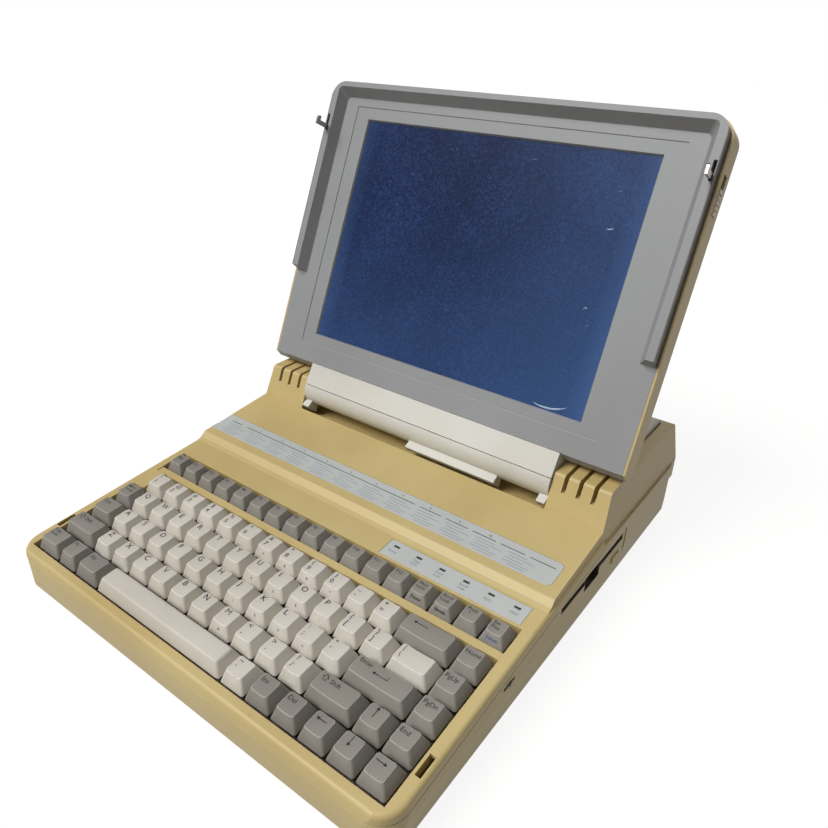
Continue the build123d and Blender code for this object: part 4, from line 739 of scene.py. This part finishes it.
blanks = {}
printed = {}
printed_blue = {}
cap_pieces = {}
for name, x, y, width, depth, height, text in caps:
    place = Matrix.Translation((x, y, 0))
    dish = LONG_CAP_SCOOP if width > LONG_CAP else SCOOP
    kind = (round(width, 2), round(depth, 2), height)
    if kind not in blanks:
        blanks[kind] = keycap_blank(width, depth, height, dish)
    cap = own_copy(blanks[kind])
    if name not in CREAM_NODES:
        cap.data.materials[0] = GREY_CAP
        cap.data.materials[1] = GREY_EDGE_HIGHLIGHT_AND_WEAR
    cap.data.transform(place)
    cap_pieces.setdefault(name, []).append(cap)
    reach = (width - KEY_GAP - KEY_DRAW) / 2
    for mark in legend(text, width, depth):
        for v in mark.data.vertices:
            v.co.z = height - dish * max(0.0, 1 - (v.co.x / reach) ** 2) + LEGEND_LIFT
        mark.data.transform(place)
        printed.setdefault(name, []).append(mark)
    if text in FRONT_LEGENDS:
        mark = front_legend(FRONT_LEGENDS[text], height, depth)
        mark.data.transform(place)
        (printed_blue if text in BLUE_FRONTS else printed).setdefault(name, []).append(mark)

for name, pieces in cap_pieces.items():
    slot = "key_cream" if name in CREAM_NODES else "key_grey"
    for i, piece in enumerate(pieces):
        settle(piece, DECK, name, f"cap_{name}_{i + 1}")
        if i == 0:
            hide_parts(name)
for sheets, material, title in ((printed, LEGEND, "legend"), (printed_blue, BLUE_LEGEND, "blue_legend")):
    for name, pieces in sheets.items():
        sheet = join(pieces)
        finish_with(sheet, material)
        settle(sheet, DECK, name, f"{title}_{name}")
for blank in blanks.values():
    bpy.data.objects.remove(blank)


# Print on the strip and the lamp plate

# The deck's step that carries the strip rises from its front to its back
STEP_FRONT_Y = 148.0
STEP_FRONT_Z = 7.2
STEP_BACK_Y = 214.3
STEP_BACK_Z = 9.0
# The strip's front edge, how far its face lies under the step, and how far the print lies over it
STRIP_Y = 155.0
STRIP_SINK = 0.15
PRINT_LIFT = 0.04
# The rule on the strip: left end, right end, length of a dash and gap
RULE_Y = 14.9
RULE_WIDTH = 0.6
RULE_PARTS = ((-147, -136, 11, 1), (-130, 38, 168, 1), (42, 146, 17.6, 3.6))
# The numbers over the rule
NUMBER_COUNT = 10
NUMBER_SIZE = 2.6
NUMBER_X = -116
NUMBER_STEP = 23.6
NUMBER_Y = 17.4
# Faint rows under the rule: left end, place up the strip, length of a dash and gap
FAINT_ROWS = ((-147, 11.8, 14.0, 9.6), (-145, 9.4, 18.0, 5.6), (-146, 6.8, 12.0, 11.6),
              (-147, 4.4, 19.0, 4.6), (-143, 2.2, 13.0, 10.6))
FAINT_RIGHT = 146
FAINT_WIDTH = 0.4
# The names of the six lamps, under them on their plate
LAMP_NAMES = ("Power", "Caps\nLock", "Num\nLock", "Scroll\nLock", "FDD", "HDD")
LAMP_NAME_SIZE = 2.7
LAMP_X = 50.4
LAMP_STEP = 17.7
LAMP_NAME_Y = 129.2
LAMP_NAME_Z = 2.94

slope = math.atan2(STEP_BACK_Z - STEP_FRONT_Z, STEP_BACK_Y - STEP_FRONT_Y)
strip_z = STEP_FRONT_Z + (STRIP_Y - STEP_FRONT_Y) * math.tan(slope) - STRIP_SINK
STRIP = DECK @ Matrix.Translation((0, STRIP_Y, strip_z)) @ Matrix.Rotation(slope, 4, "X")
OVER_STRIP = STRIP @ Matrix.Translation((0, 0, PRINT_LIFT))


def dashed(x0, x1, y, length, gap, thick):
    """A row of printed dashes from x0 to x1."""
    row = []
    x = x0
    while x + length <= x1:
        row.append(bar(x, x + length, y - thick / 2, y + thick / 2))
        x += length + gap
    return row


rule = []
for x0, x1, length, gap in RULE_PARTS:
    rule += dashed(x0, x1, RULE_Y, length, gap, RULE_WIDTH)
for i in range(NUMBER_COUNT):
    rule.append(words(str(i + 1), NUMBER_SIZE, NUMBER_X + NUMBER_STEP * i, NUMBER_Y, "CENTER"))
rule = join(rule)
settle(rule, OVER_STRIP, "base", "strip_rule")
finish_with(rule, STRIP_INK)

faint = []
for x0, y, length, gap in FAINT_ROWS:
    faint += dashed(x0, FAINT_RIGHT, y, length, gap, FAINT_WIDTH)
faint = join(faint)
settle(faint, OVER_STRIP, "base", "strip_dashes")
finish_with(faint, FAINT_INK)

notes = []
for i, text in enumerate(LAMP_NAMES):
    notes.append(words(text, LAMP_NAME_SIZE, LAMP_X + LAMP_STEP * i, LAMP_NAME_Y, "CENTER"))
notes = join(notes)
settle(notes, DECK @ Matrix.Translation((0, 0, LAMP_NAME_Z)), "base", "lamp_names")
finish_with(notes, FAINT_INK)


# Creases in the screen's film, painted pale as highlights

# Each crease: its points across and up the lid, and its width
CREASES = (
    ([(81.4, 45.6), (84.2, 44.6), (88.5, 44.2), (93.7, 44.4), (98.5, 45.4), (102.4, 46.8),
      (105.5, 48.6)], 1.3),
    ([(95.5, 165.9), (98.3, 166.2), (100.8, 167.0)], 0.9),
    ([(31.0, 202.4), (33.4, 203.0)], 0.8),
    ([(96.2, 190.2), (98.6, 190.9)], 0.8),
    ([(100.9, 103.0), (103.8, 104.1)], 0.8),
    ([(-32.0, 202.0), (-30.4, 203.0)], 0.7),
    ([(96.4, 113.2), (97.6, 114.8), (99.4, 114.0)], 0.9))
# Least share of the width at a crease's ends, and its height as a share of its half width
CREASE_END = 0.15
CREASE_RISE = 0.3


def crease(points, width):
    """A raised crease in the film along points: a low ridge that thins towards its two ends."""
    mesh = bmesh.new()
    rows = []
    last = len(points) - 1
    for i, (x, y) in enumerate(points):
        before = points[max(0, i - 1)]
        after = points[min(last, i + 1)]
        along = Vector((after[0] - before[0], after[1] - before[1])).normalized()
        half = width / 2 * max(CREASE_END, math.sin(math.pi * i / last))
        across = Vector((-along.y, along.x)) * half
        rows.append([mesh.verts.new((x + across.x, y + across.y, 0)),
                     mesh.verts.new((x, y, half * CREASE_RISE)),
                     mesh.verts.new((x - across.x, y - across.y, 0))])
    for first, second in zip(rows, rows[1:]):
        for k in (0, 1):
            mesh.faces.new((first[k], first[k + 1], second[k + 1], second[k]))
    data = bpy.data.meshes.new("crease")
    mesh.to_mesh(data)
    mesh.free()
    piece = bpy.data.objects.new("crease", data)
    bpy.context.collection.objects.link(piece)
    return piece


# Low ridges in the film that carry a painted highlight
crease_highlights = join([crease(points, width) for points, width in CREASES])
finish_with(crease_highlights, CREASE_HIGHLIGHT)
OVER_WINDOW = LID @ Matrix.Translation((0, 0, BEZEL_FACE - WINDOW_DEPTH))
settle(crease_highlights, OVER_WINDOW, "lid", "screen_crease_highlights")


# Painted shade in the disk slot

# The slot runs on both sides of a finger notch in the right side, and each tube of painted shade starts just
# inside
SHADE_OUTER_X = 156.5
SHADE_WALL = 0.25
SHADE_CORNER = 0.6
SLOT_DEPTH = 30
SLOT_Z = (30.6, 35.4)
SLOT_FRONT_Y = (-14.1, 18.7)
SLOT_REAR_Y = (40.9, 77.7)
NOTCH_DEPTH = 11.3
NOTCH_Y = (18.9, 40.7)
NOTCH_Z = (24.1, 35.9)


def shade_tube(name, material, depth, y, z):
    """A dark tube of painted shade against the walls of a slot in the right side, open at both ends."""
    tube = block((SHADE_OUTER_X - depth, SHADE_OUTER_X), y, z)
    in_edit(tube, choose_edges=lambda e: abs((e.verts[0].co - e.verts[1].co).x) > depth / 2)
    bpy.ops.mesh.bevel(offset=SHADE_CORNER, segments=3, affect="EDGES")
    in_edit(tube, choose_faces=lambda f: abs(f.normal.x) > FACING)
    bpy.ops.mesh.delete(type="FACE")
    bpy.ops.object.mode_set(mode="OBJECT")
    inner_wall(tube, SHADE_WALL)
    bpy.ops.object.shade_smooth_by_angle(angle=SMOOTH)
    finish_with(tube, material)
    settle(tube, WHOLE_CASE, "base", name)


shade_tube("slot_shade_front", SLOT_SHADE, SLOT_DEPTH, SLOT_FRONT_Y, SLOT_Z)
shade_tube("slot_shade_rear", SLOT_SHADE, SLOT_DEPTH, SLOT_REAR_Y, SLOT_Z)
shade_tube("finger_notch_shade", NOTCH_SHADE, NOTCH_DEPTH, NOTCH_Y, NOTCH_Z)


# Sockets in the rear wall

SOCKET_Z = 26.0
# Middle and width of each socket's flange
SOCKETS = ((-92.0, 53.0), (-28.0, 31.0), (20.0, 31.0))
FLANGE_HALF_HEIGHT = 6.25
FLANGE_Y = (REAR_Y - 12.0, REAR_Y - 5.5)
FLANGE_SOFT = 0.4
# The steel shell and the plastic block in it, with sides that lean 10 degrees
SHELL_IN = 3
SHELL_Y = (REAR_Y - 5.6, REAR_Y - 0.35)
SHELL_HEIGHT = 10.5
SHELL_WALL = 0.5
INSULATOR_IN = 3.6
INSULATOR_Y = (REAR_Y - 5.6, REAR_Y - 3.2)
INSULATOR_HEIGHT = 9.3
SHELL_LEAN = 10
SHELL_CORNER = 1.2
# Six-sided posts at the flange's ends
POST_IN = 1.5
POST_RADIUS = 1.35
POST_Y = (REAR_Y - 5.6, REAR_Y - 2.0)
POST_TIP = 0.3
# Contact pins in two rows, one pin fewer in the lower row, with a margin at the ends of the shell
PIN_PITCH = 2.77
PIN_ROW = 1.42
PIN_MARGIN = 5
PIN_RADIUS = 0.5
PIN_Y = (REAR_Y - 4.0, REAR_Y - 1.4)
PIN_TIP = 0.25
# Supply jack: a ring with a bore and its centre pin
JACK_X = 62.0
JACK_RADIUS = 5.5
JACK_Y = (REAR_Y - 12.8, REAR_Y - 0.8)
JACK_RIM = 0.5
JACK_FUNNEL = 2.1
JACK_FUNNEL_DEPTH = 0.15
JACK_BORE = 9.0
JACK_PIN_RADIUS = 0.9
JACK_PIN_Y = (REAR_Y - 10.0, REAR_Y - 2.2)
JACK_PIN_TIP = 0.4


def flange(x, width):
    """A socket's steel flange, its edges softened."""
    piece = block((x - width / 2, x + width / 2), FLANGE_Y,
                  (SOCKET_Z - FLANGE_HALF_HEIGHT, SOCKET_Z + FLANGE_HALF_HEIGHT))
    bpy.ops.object.mode_set(mode="EDIT")
    bpy.ops.mesh.select_all(action="SELECT")
    bpy.ops.mesh.bevel(offset=FLANGE_SOFT, segments=2, affect="EDGES")
    bpy.ops.object.mode_set(mode="OBJECT")
    return piece


def tapered_shell(x, half, y, tall, hollow):
    """A shell whose upper side is the wider one; a tube when hollow, else a closed block."""
    lean = math.tan(math.radians(SHELL_LEAN)) * tall / 2
    low = half - lean
    piece = block((x - low, x + low), y, (SOCKET_Z - tall / 2, SOCKET_Z + tall / 2))
    in_edit(piece, choose_faces=lambda f: f.normal.z > FACING)
    bpy.ops.transform.resize(value=((half + lean) / low, 1, 1), center_override=(x, sum(y) / 2, SOCKET_Z))
    in_edit(piece, choose_edges=lambda e: abs((e.verts[0].co - e.verts[1].co).y) > (y[1] - y[0]) / 2)
    bpy.ops.mesh.bevel(offset=SHELL_CORNER, segments=3, affect="EDGES")
    if hollow:
        in_edit(piece, choose_faces=lambda f: abs(f.normal.y) > FACING)
        bpy.ops.mesh.delete(type="FACE")
    bpy.ops.object.mode_set(mode="OBJECT")
    if hollow:
        inner_wall(piece, SHELL_WALL)
    bpy.ops.object.shade_smooth_by_angle(angle=SMOOTH)
    return piece


def rod(x, z, radius, y, sides):
    """A plain rod along y."""
    deselect()
    bpy.ops.mesh.primitive_cylinder_add(vertices=sides, radius=radius, depth=y[1] - y[0],
                                        location=(x, sum(y) / 2, z), rotation=(math.radians(90), 0, 0))
    piece = bpy.context.object
    bpy.ops.object.transform_apply(location=True, rotation=True)
    return piece


def post(x, z, radius, y, sides, tip):
    """A round or six-sided post along y with its rear end chamfered."""
    piece = rod(x, z, radius, y, sides)
    in_edit(piece, choose_edges=lambda e: all(v.co.y > y[1] - NEAR for v in e.verts))
    bpy.ops.mesh.bevel(offset=tip, segments=1, affect="EDGES")
    bpy.ops.object.mode_set(mode="OBJECT")
    return piece


def supply_jack():
    """The jack's ring, bored from the rear."""
    jack = rod(JACK_X, SOCKET_Z, JACK_RADIUS, JACK_Y, sides=40)
    in_edit(jack, choose_faces=lambda f: f.normal.y > FACING)
    bpy.ops.mesh.inset(thickness=JACK_RIM, depth=0)
    bpy.ops.mesh.inset(thickness=JACK_FUNNEL, depth=-JACK_FUNNEL_DEPTH)
    bpy.ops.mesh.extrude_region_move(TRANSFORM_OT_translate={"value": (0, -JACK_BORE, 0)})
    bpy.ops.object.mode_set(mode="OBJECT")
    bpy.ops.object.shade_smooth_by_angle(angle=SMOOTH)
    return jack


steel = []
plastic = []
pins = []
pin = post(0, 0, PIN_RADIUS, PIN_Y, sides=8, tip=PIN_TIP)
for x, width in SOCKETS:
    half = width / 2
    steel.append(flange(x, width))
    steel.append(tapered_shell(x, half - SHELL_IN, SHELL_Y, SHELL_HEIGHT, hollow=True))
    for side in (-1, 1):
        end = x + side * (half - POST_IN)
        steel.append(post(end, SOCKET_Z, POST_RADIUS, POST_Y, sides=6, tip=POST_TIP))
    plastic.append(tapered_shell(x, half - INSULATOR_IN, INSULATOR_Y, INSULATOR_HEIGHT, hollow=False))
    count = int((2 * (half - SHELL_IN) - PIN_MARGIN) / PIN_PITCH) + 1
    for row, number in ((PIN_ROW, count), (-PIN_ROW, count - 1)):
        for i in range(number):
            one = own_copy(pin)
            across = x + (i - (number - 1) / 2) * PIN_PITCH
            one.data.transform(Matrix.Translation((across, 0, SOCKET_Z + row)))
            pins.append(one)
bpy.data.objects.remove(pin)
steel.append(supply_jack())
pins.append(post(JACK_X, SOCKET_Z, JACK_PIN_RADIUS, JACK_PIN_Y, sides=12, tip=JACK_PIN_TIP))

for kind, pieces, material, slot in (("steel", steel, STEEL, "sheet_steel"),
                                     ("plastic", plastic, BLACK, "black_plastic"),
                                     ("pins", pins, PIN_METAL, "sheet_steel")):
    group = join(pieces)
    finish_with(group, material)
    settle(group, WHOLE_CASE, "base", f"rear_socket_{kind}")
    if kind == "steel":
        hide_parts("rear_sockets")


# Floor, light and camera

# The floor's width is in metres
FLOOR_WIDTH = 8.0
# Where the photograph was taken from: place in metres, turn in degrees
CAMERA_PLACE = (0.274353, -0.326685, 0.342715)
CAMERA_TURN = (61.134362, -1.058206, 36.887675)
CAMERA_LENS = 31.5087
CAMERA_SENSOR = 36.0


def sun(name, energy, angle, turn):
    """A broad soft light without a place, turned by degrees round x, y and z."""
    data = bpy.data.lights.new(name, "SUN")
    data.energy = energy
    data.angle = math.radians(angle)
    light = bpy.data.objects.new(name, data)
    bpy.context.collection.objects.link(light)
    light.rotation_euler = [math.radians(a) for a in turn]


deselect()
bpy.ops.mesh.primitive_plane_add(size=FLOOR_WIDTH, location=(0, 0, 0))
floor = bpy.context.object
floor.name = "floor"

# A pale floor: to the camera, and in metal and glass, half of it is its own even white
paper, _ = surface("plain_pale_floor")
ray = add(paper, "ShaderNodeLightPath")
seen = add(paper, "ShaderNodeMath", {0: (ray, "Is Camera Ray"), 1: (ray, "Is Glossy Ray")},
           operation="MAXIMUM")
seen = add(paper, "ShaderNodeMath", {0: (seen, 0), 1: (ray, "Is Transmission Ray")}, operation="MAXIMUM")
share = add(paper, "ShaderNodeMath", {0: (seen, 0), 1: 0.5}, operation="MULTIPLY")
matt = add(paper, "ShaderNodeBsdfDiffuse", {"Color": "#8f8d89"})
glow = add(paper, "ShaderNodeEmission", {"Color": "#ffffff", "Strength": 1.78})
both = add(paper, "ShaderNodeMixShader", {0: (share, 0), 1: (matt, 0), 2: (glow, 0)})
add(paper, "ShaderNodeOutputMaterial", {"Surface": (both, 0)})
finish_with(floor, paper)

# A dim even room that is white to the camera and through glass
world = bpy.data.worlds.new("soft_white_room")
bpy.context.scene.world = world
world.use_nodes = True
world.node_tree.nodes.clear()
ray = add(world, "ShaderNodeLightPath")
direct = add(world, "ShaderNodeMath", {0: (ray, "Is Camera Ray"), 1: (ray, "Is Transmission Ray")},
             operation="MAXIMUM")
room = add(world, "ShaderNodeBackground", {"Color": "#f4f6ff", "Strength": 0.2})
white = add(world, "ShaderNodeBackground", {"Color": "#ffffff", "Strength": 1.0})
both = add(world, "ShaderNodeMixShader", {0: (direct, 0), 1: (room, 0), 2: (white, 0)})
add(world, "ShaderNodeOutputWorld", {"Surface": (both, 0)})

sun("ceiling_light", energy=2.85, angle=32, turn=(34, -21, 0))
sun("rear_wall_light", energy=0.8, angle=60, turn=(-64, -6, 0))

camera_data = bpy.data.cameras.new("photo_camera")
camera_data.lens = CAMERA_LENS
camera_data.sensor_width = CAMERA_SENSOR
camera_data.clip_start = 0.01
camera = bpy.data.objects.new("photo_camera", camera_data)
bpy.context.collection.objects.link(camera)
camera.location = CAMERA_PLACE
camera.rotation_euler = [math.radians(a) for a in CAMERA_TURN]
bpy.context.scene.camera = camera

bpy.context.scene.view_settings.view_transform = "Standard"
